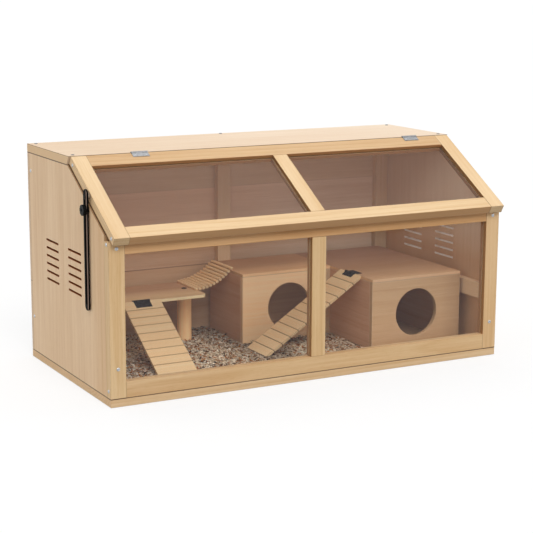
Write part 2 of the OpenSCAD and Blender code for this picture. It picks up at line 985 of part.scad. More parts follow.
// Moving leaf of a ramp hinge with the middle knuckle, in the ramp frame
module ramp_moving(run, drop, leaf) {
    third = ramp_hinge_l / 3;
    color([0.1, 0.1, 0.1])
        rotate([0, 0, -ramp_angle(run, drop)])
            difference() {
                union() {
                    translate([knuckle_off + run_gap, -leaf_t, -ramp_hinge_l / 2])
                        cube([leaf - knuckle_off, leaf_t, ramp_hinge_l]);
                    translate([1, -leaf_t, -third / 2 + run_gap])
                        cube([knuckle_off, leaf_t, third - 2 * run_gap]);
                    translate([0, 0, -third / 2 + run_gap])
                        cylinder(r = knuckle_r, h = third - 2 * run_gap);
                }
                translate([0, 0, -third])
                    cylinder(r = pin_r + pin_play, h = 2 * third);
            }
}

// Place of the left ramp: reach to the front, width along the length
module at_left_ramp() {
    translate([ramp_left_x, ramp_left_y, ramp_left_z])
        rotate([90, 0, -90])
            children();
}

// Place of the right ramp: reach to the left, width along the depth
module at_right_ramp() {
    translate([ramp_right_x, ramp_right_y, ramp_right_z])
        rotate([90, 0, 180])
            children();
}

left_drop = ramp_left_z - litter_z;
right_drop = ramp_right_z - litter_z;

module left_ramp() {
    color([0.84, 0.69, 0.5])
        at_left_ramp()
            ramp_board(left_run, left_drop);
}

module left_ramp_leaf() {
    at_left_ramp()
        ramp_moving(left_run, left_drop, left_moving_l);
}

module left_ramp_fixed_leaf() {
    at_left_ramp()
        ramp_fixed(left_fixed_l);
}

module right_ramp() {
    color([0.84, 0.69, 0.5])
        at_right_ramp()
            ramp_board(right_run, right_drop);
}

module right_ramp_leaf() {
    at_right_ramp()
        ramp_moving(right_run, right_drop, right_moving_l);
}

module right_ramp_fixed_leaf() {
    at_right_ramp()
        ramp_fixed(right_fixed_l);
}

base_board();
left_side_panel();
right_side_panel();
back_board_lower();
back_board_middle();
back_board_upper();
back_center_batten();
back_left_post();
back_right_post();
front_left_post();
front_right_post();
front_top_rail();
front_bottom_rail();
front_mullion();
front_left_pane();
front_right_pane();
roof_panel();
left_side_rail();
right_side_rail();
platform();
platform_leg();
leg_screw();
den_roof();
den_left_front();
den_right_front();
den_left_wall();
den_middle_wall();
den_right_wall();
bridge_left_cleat();
bridge_right_cleat();
bridge_dowels();
bridge_cords();
litter();
left_hinge_roof_leaf();
right_hinge_roof_leaf();
left_ramp_fixed_leaf();
right_ramp_fixed_leaf();
stay_stud();
front_screws();
left_side_screws();
right_side_screws();
roof_screws();
lid_left_stile();
lid_right_stile();
lid_top_rail();
lid_bottom_rail();
lid_mullion();
lid_left_pane();
lid_right_pane();
left_hinge_lid_leaf();
right_hinge_lid_leaf();
lid_screws();
stay_pivot();
stay_bar();
stay_rivet();
stay_knob();
left_ramp();
left_ramp_leaf();
right_ramp();
right_ramp_leaf();
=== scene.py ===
import math

import bpy
import numpy as np
from mathutils import Euler, Matrix, Vector


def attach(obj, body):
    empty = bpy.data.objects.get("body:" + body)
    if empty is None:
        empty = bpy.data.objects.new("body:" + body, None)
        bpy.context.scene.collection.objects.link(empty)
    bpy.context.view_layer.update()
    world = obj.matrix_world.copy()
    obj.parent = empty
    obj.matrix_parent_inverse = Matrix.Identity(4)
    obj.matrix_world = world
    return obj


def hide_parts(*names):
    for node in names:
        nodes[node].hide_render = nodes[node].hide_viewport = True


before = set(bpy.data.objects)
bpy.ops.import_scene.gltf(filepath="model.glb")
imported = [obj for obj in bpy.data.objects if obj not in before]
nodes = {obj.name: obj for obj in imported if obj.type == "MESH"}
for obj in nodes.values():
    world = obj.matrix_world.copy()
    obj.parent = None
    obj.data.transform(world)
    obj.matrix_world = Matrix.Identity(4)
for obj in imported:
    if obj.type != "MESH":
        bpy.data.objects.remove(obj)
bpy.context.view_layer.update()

scene = bpy.context.scene
scene.view_settings.view_transform = "Standard"
print("frame loaded:", len(nodes), "pieces")


# stands left of the front and a little above the roof
cameraSet = {
    "place": (-1.6546, -3.1192, 0.9214),
    "yaw": 28.0094,
    "pitch": -11.2658,
    "roll": 0.2194,
    "lens": 101.706,
    "sensor": 36.0,
    "sight": 200.0,  # how far it sees, metres
}


# forward comes from yaw and pitch, then right and up are turned about it by the roll
def placeCamera(s):
    yaw, pitch, roll = (math.radians(s[k]) for k in ("yaw", "pitch", "roll"))
    ahead = Vector((math.sin(yaw) * math.cos(pitch), math.cos(yaw) * math.cos(pitch), math.sin(pitch)))
    level = Vector((math.cos(yaw), -math.sin(yaw), 0.0))
    above = level.cross(ahead)
    right = math.cos(roll) * level + math.sin(roll) * above
    up = math.cos(roll) * above - math.sin(roll) * level
    data = bpy.data.cameras.new("photoCamera")
    data.sensor_width = s["sensor"]
    data.lens = s["lens"]
    data.clip_end = s["sight"]
    cam = bpy.data.objects.new("photoCamera", data)
    turn = Matrix((right, up, -ahead)).transposed().to_4x4()
    cam.matrix_world = Matrix.Translation(s["place"]) @ turn
    scene.collection.objects.link(cam)
    scene.camera = cam


placeCamera(cameraSet)
print("camera placed")


def addNode(tree, kind, inputs=None, **settings):
    node = tree.nodes.new(kind)
    for key, value in settings.items():
        setattr(node, key, value)
    for key, value in (inputs or {}).items():
        if isinstance(value, bpy.types.NodeSocket):
            tree.links.new(value, node.inputs[key])
        else:
            node.inputs[key].default_value = value
    return node


def maths(tree, operation, *values):
    return addNode(tree, "ShaderNodeMath", dict(enumerate(values)), operation=operation).outputs[0]


def vectorMaths(tree, operation, *values):
    node = addNode(tree, "ShaderNodeVectorMath", dict(enumerate(values)), operation=operation)
    return node.outputs["Value" if operation in ("LENGTH", "DOT_PRODUCT") else "Vector"]


def dot(tree, a, b):
    return vectorMaths(tree, "DOT_PRODUCT", a, b)


def noiseField(tree, vector, detail, roughness, scale=1.0):
    inputs = {"Vector": vector, "Scale": scale, "Detail": detail, "Roughness": roughness}
    return addNode(tree, "ShaderNodeTexNoise", inputs).outputs[0]


# noise drawn out, with its own count of waves per metre along each axis
def drawnNoise(tree, vector, waves, detail=2.0, roughness=0.5):
    return noiseField(tree, vectorMaths(tree, "MULTIPLY", vector, waves), detail, roughness)


# straight line from one range to another, held at both ends
def remap(tree, value, low, high, outLow, outHigh):
    inputs = {0: value, 1: low, 2: high, 3: outLow, 4: outHigh}
    return addNode(tree, "ShaderNodeMapRange", inputs).outputs[0]


# noise, which seldom leaves 0.3 to 0.7, brought to a range
def spanNoise(tree, noise, outLow, outHigh):
    return remap(tree, noise, 0.3, 0.7, outLow, outHigh)


def within(tree, value, limits):
    above = maths(tree, "GREATER_THAN", value, limits[0])
    below = maths(tree, "LESS_THAN", value, limits[1])
    return maths(tree, "MULTIPLY", above, below)


# how far a point lies from the plane at a place along a direction
def planeGap(tree, coords, direction, place):
    off = maths(tree, "SUBTRACT", dot(tree, coords["Object"], direction), place)
    return maths(tree, "ABSOLUTE", off)


# how squarely a face looks along a direction, either way
def leanTo(tree, coords, direction):
    return maths(tree, "ABSOLUTE", dot(tree, coords["Normal"], direction))


def mixColour(tree, factor, a, b, how="MIX"):
    node = addNode(tree, "ShaderNodeMix", {0: factor, 6: a, 7: b}, data_type="RGBA", blend_type=how)
    return node.outputs[2]


def ramp(tree, factor, stops):
    node = addNode(tree, "ShaderNodeValToRGB", {0: factor})
    bar = node.color_ramp
    while len(bar.elements) < len(stops):
        bar.elements.new(0.5)
    for element, (place, colour) in zip(bar.elements, stops):
        element.position = place
        element.color = colour
    return node.outputs[0]


# screen colour of 0 to 255 as the linear colour that shaders take
def paint(r, g, b):
    c = np.array((r, g, b)) / 255.0
    c = np.where(c <= 0.04045, c / 12.92, ((c + 0.055) / 1.055) ** 2.4)
    return (*c.tolist(), 1.0)


def paintRamp(tree, factor, stops):
    return ramp(tree, factor, [(place, paint(*colour)) for place, colour in stops])


def grey(v):
    return (v, v, v, 1.0)


def emptyTree(owner):
    owner.use_nodes = True
    owner.node_tree.nodes.clear()
    return owner.node_tree


def startMaterial(name):
    mat = bpy.data.materials.new(name)
    tree = emptyTree(mat)
    shader = addNode(tree, "ShaderNodeBsdfPrincipled")
    addNode(tree, "ShaderNodeOutputMaterial", {"Surface": shader.outputs[0]})
    return mat, tree, shader, addNode(tree, "ShaderNodeTexCoord").outputs


# gives the shader its colour, roughness and sheen, and a relief of some strength and depth from a height
def setSurface(tree, shader, s, colour, rough, height):
    strength, depth = s["relief"]
    bump = addNode(tree, "ShaderNodeBump", {"Strength": strength, "Distance": depth, "Height": height})
    tree.links.new(colour, shader.inputs["Base Color"])
    tree.links.new(rough, shader.inputs["Roughness"])
    tree.links.new(bump.outputs[0], shader.inputs["Normal"])
    if "sheen" in s:
        shader.inputs["Specular IOR Level"].default_value = s["sheen"]


# studio: an even white surround and four broad lamps, each with its strength, turn and spread, over a
# pale floor that looks nearly white and throws less light back
studioSet = {
    "surround": 0.50,
    "lamps": {
        "overhead": (0.68, (-15, 0, 0), 60),
        "front": (1.40, (48, 0, -8), 36),
        "left": (0.80, (0, -86, 0), 60),
        "right": (0.80, (0, 84, 0), 20),
    },
    "floorSeen": 0.98,
    "floorBounce": 0.35,
    "floorWhite": 0.72,
    "floorHalf": 60.0,  # half its length, metres
    "floorDrop": 0.0006,  # how far it lies below the cage, metres
}


# one for what the camera sees, also in a mirror or a clear sheet, and nothing for other light
def seenDirectly(tree):
    path = addNode(tree, "ShaderNodeLightPath")
    seen = maths(tree, "MAXIMUM", path.outputs["Is Camera Ray"], path.outputs["Is Glossy Ray"])
    return maths(tree, "MAXIMUM", seen, path.outputs["Is Transmission Ray"])


def buildStudio(s):
    scene.world = bpy.data.worlds.new("studio")
    tree = emptyTree(scene.world)
    soft = addNode(tree, "ShaderNodeBackground", {"Color": grey(1.0), "Strength": s["surround"]})
    white = addNode(tree, "ShaderNodeBackground", {"Color": grey(1.0), "Strength": 1.0})
    seen = seenDirectly(tree)
    both = addNode(tree, "ShaderNodeMixShader", {0: seen, 1: soft.outputs[0], 2: white.outputs[0]})
    addNode(tree, "ShaderNodeOutputWorld", {"Surface": both.outputs[0]})

    for name, (strength, turn, spread) in s["lamps"].items():
        data = bpy.data.lights.new(name, "SUN")
        data.energy = strength
        data.angle = math.radians(spread)
        lamp = bpy.data.objects.new(name, data)
        lamp.rotation_euler = [math.radians(a) for a in turn]
        scene.collection.objects.link(lamp)

    mat = bpy.data.materials.new("paleFloor")
    tree = emptyTree(mat)
    seen = seenDirectly(tree)
    tone = mixColour(tree, seen, grey(s["floorBounce"]), grey(s["floorSeen"]))
    matte = addNode(tree, "ShaderNodeBsdfDiffuse", {"Color": tone})
    glow = addNode(tree, "ShaderNodeEmission", {"Color": grey(1.0), "Strength": 1.0})
    share = maths(tree, "MULTIPLY", seen, s["floorWhite"])
    both = addNode(tree, "ShaderNodeMixShader", {0: share, 1: matte.outputs[0], 2: glow.outputs[0]})
    addNode(tree, "ShaderNodeOutputMaterial", {"Surface": both.outputs[0]})
    mesh = bpy.data.meshes.new("floor")
    e, z = s["floorHalf"], -s["floorDrop"]
    mesh.from_pydata([(-e, -e, z), (e, -e, z), (e, e, z), (-e, e, z)], [], [(0, 1, 2, 3)])
    mesh.materials.append(mat)
    floor = bpy.data.objects.new("floor", mesh)
    scene.collection.objects.link(floor)


buildStudio(studioSet)
print("studio lit")


upward, sideways, frontal = (0.0, 0.0, 1.0), (1.0, 0.0, 0.0), (0.0, 1.0, 0.0)
inward, leftward = (0.0, -1.0, 0.0), (-1.0, 0.0, 0.0)
ends = (-1, 1)  # left and right

# the lid's own directions: down its slope and out of its top face
lidTilt = 30.4
lidLean = math.radians(lidTilt)
downLid = (0.0, -math.cos(lidLean), -math.sin(lidLean))
outLid = (0.0, -math.sin(lidLean), math.cos(lidLean))
hingeLine = (0.0, -0.026, 0.513)

# turns that lay a board's grain on the pattern's first axis
grainTurn = {
    "length": (0, 0, 0),
    "depth": (0, 0, -90),
    "height": (0, 90, 0),
    "lidSlope": (-lidTilt, 0, -90),
}

# what all boards share; a tone may set its own; waves are counts per metre along and across the grain
woodSet = {
    "seed": 40,
    "ring": 0.0085,  # width of a growth ring, metres
    "rings": 0.40,  # share of the tone given by growth rings
    "ringTones": [(0.0, 0.1), (0.45, 0.25), (0.86, 1.0), (1.0, 0.1)],
    "pithAway": (0.055, 0.11),  # how far the pith lies from the board's middle, metres
    "bend": 0.022,  # how far slow noise pushes the rings, metres
    "bendWaves": (1.6, 7, 7),
    "fibres": 0.42,
    "fine": 260,  # fibres per metre across the grain
    "fibreLong": 5,  # and along it
    "cloud": 0.35,
    "cloudWaves": (2.2, 11, 11),
    "pores": 0.35,
    "poreWaves": (55, 1500, 1500),
    "poreCut": (0.60, 0.74),  # noise that becomes a pore
    "level": 0.42,  # tone between pale and deep that the rest varies about
    "vary": 0.06,  # how much the level differs from board to board
    "drift": 9.0,  # how far a board's pattern is moved, metres
    "edge": ((160, 118, 78), 0.3),
    "edgeWide": 0.0016,  # width of the coloured edge, metres
    "edgeBreakWaves": (60, 220, 220),
    "edgeBreak": (0.5, 1.4),  # range of the edge's share
    "endDark": 0.84,
    "endTint": (1.0, 0.98, 0.95),
    "endLean": (0.6, 0.9),
    "rough": (0.46, 0.62),
    "sheen": 0.34,
    "ringRelief": 0.3,
    "relief": (0.3, 0.00025),
    "facingTones": (),
    "shade": (),
}
anywhere, inner = (-1, 1), (-0.48, 0.48)
sideLean = (0.3, 0.6)  # how squarely a face looks to a side before it counts as that side's


# faces that lean to a direction take the colour by a share, inside an x and a z range
def facingTone(direction, colour, share, x=anywhere, z=anywhere, lean=(0.5, 0.8)):
    return direction, lean, colour, share, x, z


# painted light and shade: the tone's factors at two places along a direction, inside an x range, on all faces
# or on one side's
def shade(along, begin, end, first, last, x=anywhere, faces=None):
    return along, begin, end, first, last, x, faces


# painted light and shade of one factor at all heights
def steady(factor, x=anywhere, faces=None):
    return shade(upward, 0, 1, factor, factor, x, faces)


def even(f):
    return (f, f, f)


# side panels: x ranges outward from the middle, z ranges, and leans of the faces meant, metres
panelSet = {
    "slotInside": (0.4, 0.4965),
    "slotRim": (0.4965, 1),
    "lidGap": (0.4945, 0.498),
    "lidLip": (0.498, 1),
    "slotHigh": (0.2, 0.32),
    "cornerHigh": (0.33, 1),
    "slotLean": (0.6, 0.3),
    "ledgeLean": (0.9, 0.97),
    "cornerLean": (0.8, 0.95),
    # the gap tone is painted shadow in the gap beside the lid and in the corner under its lower end; the lip
    # tone is painted shade on the ledge's lip
    "gapShadow": (66, 38, 16),
    "lipShade": (160, 118, 78),
}


# vent slots with the tones of their inner part and their outer rim, painted shadow in the gap and painted
# shade on the lip of the ledge beside the lid, and painted shadow in the corner under the lid's lower end
def panelFacingTones(s, side, innerTone, rimTone):
    spans = ("slotInside", "slotRim", "lidGap", "lidLip")
    inside, rim, gap, lip = (sorted(side * x for x in s[k]) for k in spans)
    return [facingTone(sideways, innerTone, 0.95, inside, s["slotHigh"], s["slotLean"]),
            facingTone(sideways, rimTone, 0.95, rim, s["slotHigh"], s["slotLean"]),
            facingTone(outLid, s["lipShade"], 0.8, lip, lean=s["ledgeLean"]),
            facingTone(outLid, s["gapShadow"], 0.9, gap, lean=s["ledgeLean"]),
            facingTone(frontal, s["gapShadow"], 0.5, z=s["cornerHigh"], lean=s["cornerLean"])]


# painted light: the pale slot tone inside the right panel's slots, and the pale shelf tone on the shelves'
# front faces
slotBrown, slotLit, shelfLitFront = (164, 86, 28), (255, 244, 232), (250, 222, 182)
# the soft and bright edge colours: lighter edges, partly wear and partly painted highlight
softEdge, brightEdge = (246, 222, 188), (250, 226, 190)
denBend = 0.204  # x where the den's two arms meet, metres

# woods that several tones start from
lidWood = {"pale": (237, 208, 166), "deep": (217, 178, 128)}
panelWood = {"pale": (247, 216, 178), "deep": (222, 183, 140), "ring": 0.03, "rings": 0.16, "fine": 150}
backWood = {"pale": (244, 216, 185), "deep": (220, 184, 146), "ring": 0.026, "rings": 0.25, "fine": 180}
postWood = {"pale": (240, 209, 170), "deep": (216, 176, 132), "ring": 0.015, "rings": 0.25}
shelfWood = {"ring": 0.015, "rings": 0.22}
denWood = {"ring": 0.02, "rings": 0.25, "edge": (softEdge, 0.5)}

# edge is the colour of a board's corners and its share; each tone's shade factors are painted light and shade
woodTones = {
    # frame: painted shade on the side faces of the posts and mullion, and a little painted shade on the right
    # post
    "frame": {"pale": (239, 208, 163), "deep": (215, 174, 121),
              "facingTones": [facingTone(sideways, (156, 106, 60), 0.8, inner)],
              "shade": [shade(sideways, 0.4, 0.46, even(1), (0.99, 0.95, 0.93))]},
    "base": {"pale": (236, 204, 162), "deep": (212, 170, 120), "endDark": 0.99},
    "lowRail": {"pale": (234, 201, 155), "deep": (211, 167, 115),
                "shade": [shade(sideways, -0.45, 0, (0.97, 0.95, 0.95), even(1))]},
    # top rail: a darker tone, painted shadow under the lid's overhang
    "topRail": {"pale": (220, 175, 126), "deep": (197, 146, 92)},
    # lid and lid top rail: painted shade on the faces that look down the slope
    "lid": {**lidWood, "facingTones": [facingTone(downLid, (178, 128, 80), 0.75)]},
    "lidTop": {"pale": (218, 183, 139), "deep": (198, 154, 105),
               "facingTones": [facingTone(downLid, (165, 108, 58), 0.8)]},
    # lid stiles and mullion: painted shade on their inner side faces
    "lidSide": {**lidWood, "facingTones": [facingTone(sideways, (130, 86, 46), 0.92, inner)]},
    "roof": {"pale": (241, 219, 193), "deep": (226, 195, 162), "ring": 0.024, "rings": 0.14, "fine": 170,
             "endDark": 0.98, "facingTones": [facingTone(sideways, (240, 205, 158), 0.8)],
             "shade": [shade(sideways, -0.4, 0.1, (0.93, 0.9, 0.85), even(1)),
                       shade(sideways, 0.1, 0.45, even(1), (1.01, 1.04, 1.07))]},
    "panel": {**panelWood, "facingTones": panelFacingTones(panelSet, -1, slotBrown, slotBrown),
              "shade": [shade(frontal, -0.2, -0.13, (0.93, 0.875, 0.79), even(1))]},
    # right panel: painted shade on its inside face, deepest low down, and painted light inside its slots
    "rightPanel": {**panelWood, "rings": 0.1, "fibres": 0.26, "cloud": 0.25,
                   "facingTones": panelFacingTones(panelSet, 1, slotLit, slotBrown),
                   "shade": [shade(upward, 0.22, 0.31, (0.77, 0.65, 0.55), (0.93, 0.985, 1.13),
                                   faces=leftward)]},
    # lower back board: painted shade on its inside face, with painted light where it shows through the den's
    # doors
    "backLow": {**backWood, "shade": [steady((0.77, 0.66, 0.56), faces=inward),
                                      steady((1.75, 1.9, 1.9), (-0.03, 0.3), inward)]},
    # middle back board: painted shade on its inside face, deepest low down, and cooler painted light towards
    # the right
    "back": {**backWood,
             "shade": [shade(upward, 0.2, 0.35, (0.79, 0.7, 0.65), (1.07, 0.99, 0.985), faces=inward),
                       shade(sideways, 0, 0.2, even(1), (1.02, 1.14, 1.27), faces=inward)]},
    "backTop": backWood,
    # platform: painted light on its front part and its front and back faces, painted shade towards its back
    "platform": {**shelfWood, "pale": (219, 180, 145), "deep": (197, 152, 112), "edge": (softEdge, 0.25),
                 "facingTones": [facingTone(frontal, shelfLitFront, 0.5)],
                 "shade": [shade(frontal, 0.09, 0.16, (1.42, 1.62, 1.5), (0.93, 0.87, 0.82))]},
    # den roof: painted light on its front part and its front and back faces, painted shade towards the back
    # of both arms
    "denRoof": {**shelfWood, "pale": (216, 177, 133), "deep": (194, 149, 102), "edge": (softEdge, 0.12),
                "facingTones": [facingTone(frontal, shelfLitFront, 0.12)],
                "shade": [shade(frontal, 0.038, 0.12, (1.57, 1.58, 1.58), (0.86, 0.76, 0.73), (-1, denBend)),
                          shade(frontal, -0.155, 0.12, (1.2, 1.18, 1.22), (0.64, 0.56, 0.65), (denBend, 1))]},
    # ramps: a pale tone, painted light
    "ramp": {"pale": (255, 228, 180), "deep": (252, 207, 150), "ring": 0.015, "rings": 0.2,
             "edge": (brightEdge, 0.4)},
    # left den front: a pale tone and factors, painted light, with painted shade towards the bottom and
    # towards the den's bend
    "leftDen": {**denWood, "pale": (255, 231, 183), "deep": (255, 209, 151), "edge": (brightEdge, 0.5),
                "shade": [shade(upward, 0.06, 0.16, (1.04, 0.91, 0.85), (1.12, 1.06, 1.1)),
                          shade(sideways, 0.14, 0.185, even(1), even(0.6))]},
    # right den front: painted shade towards its right end and towards its top
    "rightDen": {**denWood, "pale": (229, 190, 149), "deep": (206, 160, 115),
                 "shade": [shade(sideways, denBend, 0.4, (1.02, 1.02, 0.97), (0.93, 0.93, 0.89)),
                           shade(sideways, 0.4, 0.455, even(1), even(0.78)),
                           shade(upward, 0.08, 0.18, even(1.06), even(0.95))]},
    "wall": {**denWood, "pale": (227, 180, 142), "deep": (204, 150, 108)},
    "post": postWood,
    # back right post: painted shade on its lower part
    "cornerPost": {**postWood, "shade": [shade(upward, 0.22, 0.32, even(0.7), even(1))]},
    # leg: a pale tone and factors above one, painted light
    "round": {"pale": (255, 234, 188), "deep": (255, 212, 156), "ring": 0.006, "edge": (brightEdge, 0.4),
              "shade": [steady((1.4, 1.22, 1.06))]},
}


# plane across the lid at a distance from its hinge line
def lidPlane(direction, away):
    return direction, float(np.dot(direction, hingeLine)) + away


# joints that show as dark lines: a plane's direction and place, half the line's width and its strength
seamSet = {"colour": (70, 36, 14), "core": 0.5, "flat": (0.7, 0.9)}
fineSeam = 0.0009
onBase = (upward, 0.018, 0.0014, 0.95)
underRoof = (upward, 0.493, 0.0014, 0.95)
roofRim = (upward, 0.513, 0.0017, 0.6)
atHinge = (*lidPlane(downLid, 0.0), 0.0020, 0.95)
underLid = (*lidPlane(outLid, -0.0209), 0.0022, 0.95)
lidEnds = [(sideways, k * 0.460, fineSeam, 0.25) for k in ends]
frontEnds = [(sideways, k * 0.464, fineSeam, 0.3) for k in ends]
backJoints = [(upward, 0.187, 0.0013, 0.6)]
underDenRoof = (upward, 0.188, fineSeam, 0.4)

# grooves of a ramp, darkened with painted shade: their spacing, where they start from the hinge, half their
# width and their strength
treadSet = {"pitch": 0.0255, "start": 0.001, "half": 0.0016, "dark": 0.8}


# planes across a ramp's slope, at equal steps from its hinge
def treads(s, hinge, ahead, lean, count):
    down = tuple(np.cos(np.radians(lean)) * np.array(ahead) - np.sin(np.radians(lean)) * np.array(upward))
    top = float(np.dot(down, hinge)) + s["start"]
    return [(down, top + s["pitch"] * i, s["half"], s["dark"]) for i in range(1, count + 1)]


seams = {
    "base_board": [onBase],
    "left_side_panel": [onBase, underRoof, underLid],
    "right_side_panel": [onBase, underRoof, underLid],
    "back_board_lower": backJoints,
    "back_board_middle": backJoints,
    "back_board_upper": [underRoof],
    "front_left_post": [onBase],
    "front_right_post": [onBase],
    "front_top_rail": frontEnds,
    "front_bottom_rail": [onBase] + frontEnds,
    "front_mullion": [(upward, z, fineSeam, 0.4) for z in (0.054, 0.3295)],
    "roof_panel": [underRoof, roofRim, atHinge],
    "lid_left_stile": [atHinge, underLid] + lidEnds,
    "lid_right_stile": [atHinge, underLid] + lidEnds,
    "lid_top_rail": [atHinge] + lidEnds,
    "lid_bottom_rail": lidEnds,
    "lid_mullion": [(*lidPlane(downLid, away), fineSeam, 0.3) for away in (0.039, 0.249)],
    "den_roof": [(sideways, denBend, fineSeam, 0.5), underDenRoof],
    "den_left_front": [underDenRoof],
    "den_right_front": [underDenRoof],
    "left_ramp": treads(treadSet, (-0.298, 0.0517, 0.1535), (0, -1, 0), 31.5, 8),
    "right_ramp": treads(treadSet, (0.2007, -0.061, 0.1965), (-1, 0, 0), 33.2, 11),
}


# seam: near nothing from its plane, on the faces that cross the plane
def seamLines(tree, coords, planes, s):
    mask = None
    for direction, place, wide, strength in planes:
        line = remap(tree, planeGap(tree, coords, direction, place), wide * s["core"], wide, strength, 0.0)
        crossing = remap(tree, leanTo(tree, coords, direction), *s["flat"], 1.0, 0.0)
        line = maths(tree, "MULTIPLY", line, crossing)
        mask = line if mask is None else maths(tree, "MAXIMUM", mask, line)
    return mask


# shaded: painted light and shade, the colour times a mix of the two factors, from one place to the other
def shaded(tree, coords, colour, shades):
    place, normal = coords["Object"], coords["Normal"]
    across = dot(tree, place, sideways)
    for along, begin, end, first, last, x, faces in shades:
        where = remap(tree, dot(tree, place, along), begin, end, 0.0, 1.0)
        share = within(tree, across, x)
        if faces:
            looks = remap(tree, dot(tree, normal, faces), *sideLean, 0.0, 1.0)
            share = maths(tree, "MULTIPLY", share, looks)
        factor = mixColour(tree, where, (*first, 1.0), (*last, 1.0))
        colour = mixColour(tree, share, colour, factor, "MULTIPLY")
    return colour


# board: growth rings are the distance from a pith line beside the board, pushed by slow noise and
# folded into one sawtooth per ring; fibres and pores are noise drawn out along the grain; an edge is
# where the second smallest distance to the board's own six faces is near nothing
def woodMaterial(name, obj, grain, tone, planes, seed):
    s = {**woodSet, **woodTones[tone]}
    rng = np.random.default_rng(seed)
    turn = [math.radians(a) for a in grainTurn[grain]]
    co = np.empty(len(obj.data.vertices) * 3)
    obj.data.vertices.foreach_get("co", co)
    own = co.reshape(-1, 3) @ np.array(Euler(turn).to_matrix()).T
    middle, half = (own.max(0) + own.min(0)) / 2, (own.max(0) - own.min(0)) / 2
    away = rng.uniform(*s["pithAway"]) * rng.choice((-1, 1))
    aside = rng.uniform(-0.5, 0.5) * max(half[1], half[2])
    pith = (0.0, away, aside) if half[1] < half[2] else (0.0, aside, away)
    drift = rng.uniform(-s["drift"], s["drift"], 3)

    mat, tree, shader, coords = startMaterial(name)
    place = addNode(tree, "ShaderNodeMapping", {0: coords["Object"], 1: -middle, 2: turn})
    board = place.outputs[0]
    moved = vectorMaths(tree, "ADD", board, drift)

    section = vectorMaths(tree, "ADD", vectorMaths(tree, "MULTIPLY", board, (0, 1, 1)), pith)
    push = drawnNoise(tree, moved, s["bendWaves"], 2.0, 0.45)
    radius = maths(tree, "MULTIPLY_ADD", push, s["bend"], vectorMaths(tree, "LENGTH", section))
    fold = maths(tree, "FRACT", maths(tree, "DIVIDE", radius, s["ring"]))
    rings = ramp(tree, fold, [(p, grey(v)) for p, v in s["ringTones"]])
    fibres = drawnNoise(tree, moved, (s["fibreLong"], s["fine"], s["fine"]), 4.0, 0.62)
    cloud = drawnNoise(tree, moved, s["cloudWaves"], 2.0, 0.5)
    streak = drawnNoise(tree, moved, s["poreWaves"], 1.0, 0.4)
    pores = remap(tree, streak, *s["poreCut"], 0.0, 1.0)

    depth = maths(tree, "MULTIPLY", rings, s["rings"])
    depth = maths(tree, "MULTIPLY_ADD", spanNoise(tree, fibres, -0.5, 0.5), s["fibres"], depth)
    depth = maths(tree, "MULTIPLY_ADD", spanNoise(tree, cloud, -0.5, 0.5), s["cloud"], depth)
    depth = maths(tree, "MULTIPLY_ADD", pores, s["pores"], depth)
    lift = s["level"] - s["level"] * s["rings"] + float(rng.uniform(-s["vary"], s["vary"]))
    colour = paintRamp(tree, maths(tree, "ADD", depth, lift), [(0.0, s["pale"]), (1.0, s["deep"])])

    turned = addNode(tree, "ShaderNodeMapping", {0: coords["Normal"], 2: turn}, vector_type="NORMAL")
    along = addNode(tree, "ShaderNodeSeparateXYZ", {0: turned.outputs[0]}).outputs[0]
    sawnEnd = remap(tree, maths(tree, "ABSOLUTE", along), *s["endLean"], 0.0, 1.0)
    dark = [s["endDark"] * tint for tint in s["endTint"]]
    colour = mixColour(tree, sawnEnd, colour, (*dark, 1.0), "MULTIPLY")
    spot = addNode(tree, "ShaderNodeSeparateXYZ", {0: coords["Object"]}).outputs
    # faces that lean a given way take another colour; in most tones this is painted light and shade
    for direction, lean, facingColour, share, x, z in s["facingTones"]:
        looks = remap(tree, leanTo(tree, coords, direction), *lean, 0.0, share)
        keep = maths(tree, "MULTIPLY", within(tree, spot[0], x), within(tree, spot[2], z))
        colour = mixColour(tree, maths(tree, "MULTIPLY", looks, keep), colour, paint(*facingColour))
    # the tone's painted light and shade
    colour = shaded(tree, coords, colour, s["shade"])

    inside = vectorMaths(tree, "SUBTRACT", tuple(half), vectorMaths(tree, "ABSOLUTE", board))
    gaps = addNode(tree, "ShaderNodeSeparateXYZ", {0: inside}).outputs
    near = maths(tree, "MINIMUM", gaps[0], gaps[1])
    far = maths(tree, "MINIMUM", maths(tree, "MAXIMUM", gaps[0], gaps[1]), gaps[2])
    # every edge takes the tone's edge colour, broken up by noise; the lighter edge colours are partly wear
    # and partly painted highlight
    rim = remap(tree, maths(tree, "MAXIMUM", near, far), 0.0, s["edgeWide"], 1.0, 0.0)
    edgeTone, share = s["edge"]
    edgeBreak = spanNoise(tree, drawnNoise(tree, moved, s["edgeBreakWaves"]), *(share * k for k in s["edgeBreak"]))
    colour = mixColour(tree, maths(tree, "MULTIPLY", rim, edgeBreak), colour, paint(*edgeTone))
    if planes:
        lines = seamLines(tree, coords, planes, seamSet)
        colour = mixColour(tree, lines, colour, paint(*seamSet["colour"]))

    height = maths(tree, "SUBTRACT", maths(tree, "MULTIPLY_ADD", rings, s["ringRelief"], fibres), pores)
    setSurface(tree, shader, s, colour, spanNoise(tree, fibres, *s["rough"]), height)
    return mat


# clear sheet: a thin grey veil over what is behind it, with faint rubbed smears in its gloss
acrylicSet = {
    "tint": (168, 162, 164),
    "cover": 0.066,
    "index": 1.35,
    "smearWaves": (9, 22, 14),
    "smearCut": (0.4, 0.72),
    "rough": (0.03, 0.12),
}


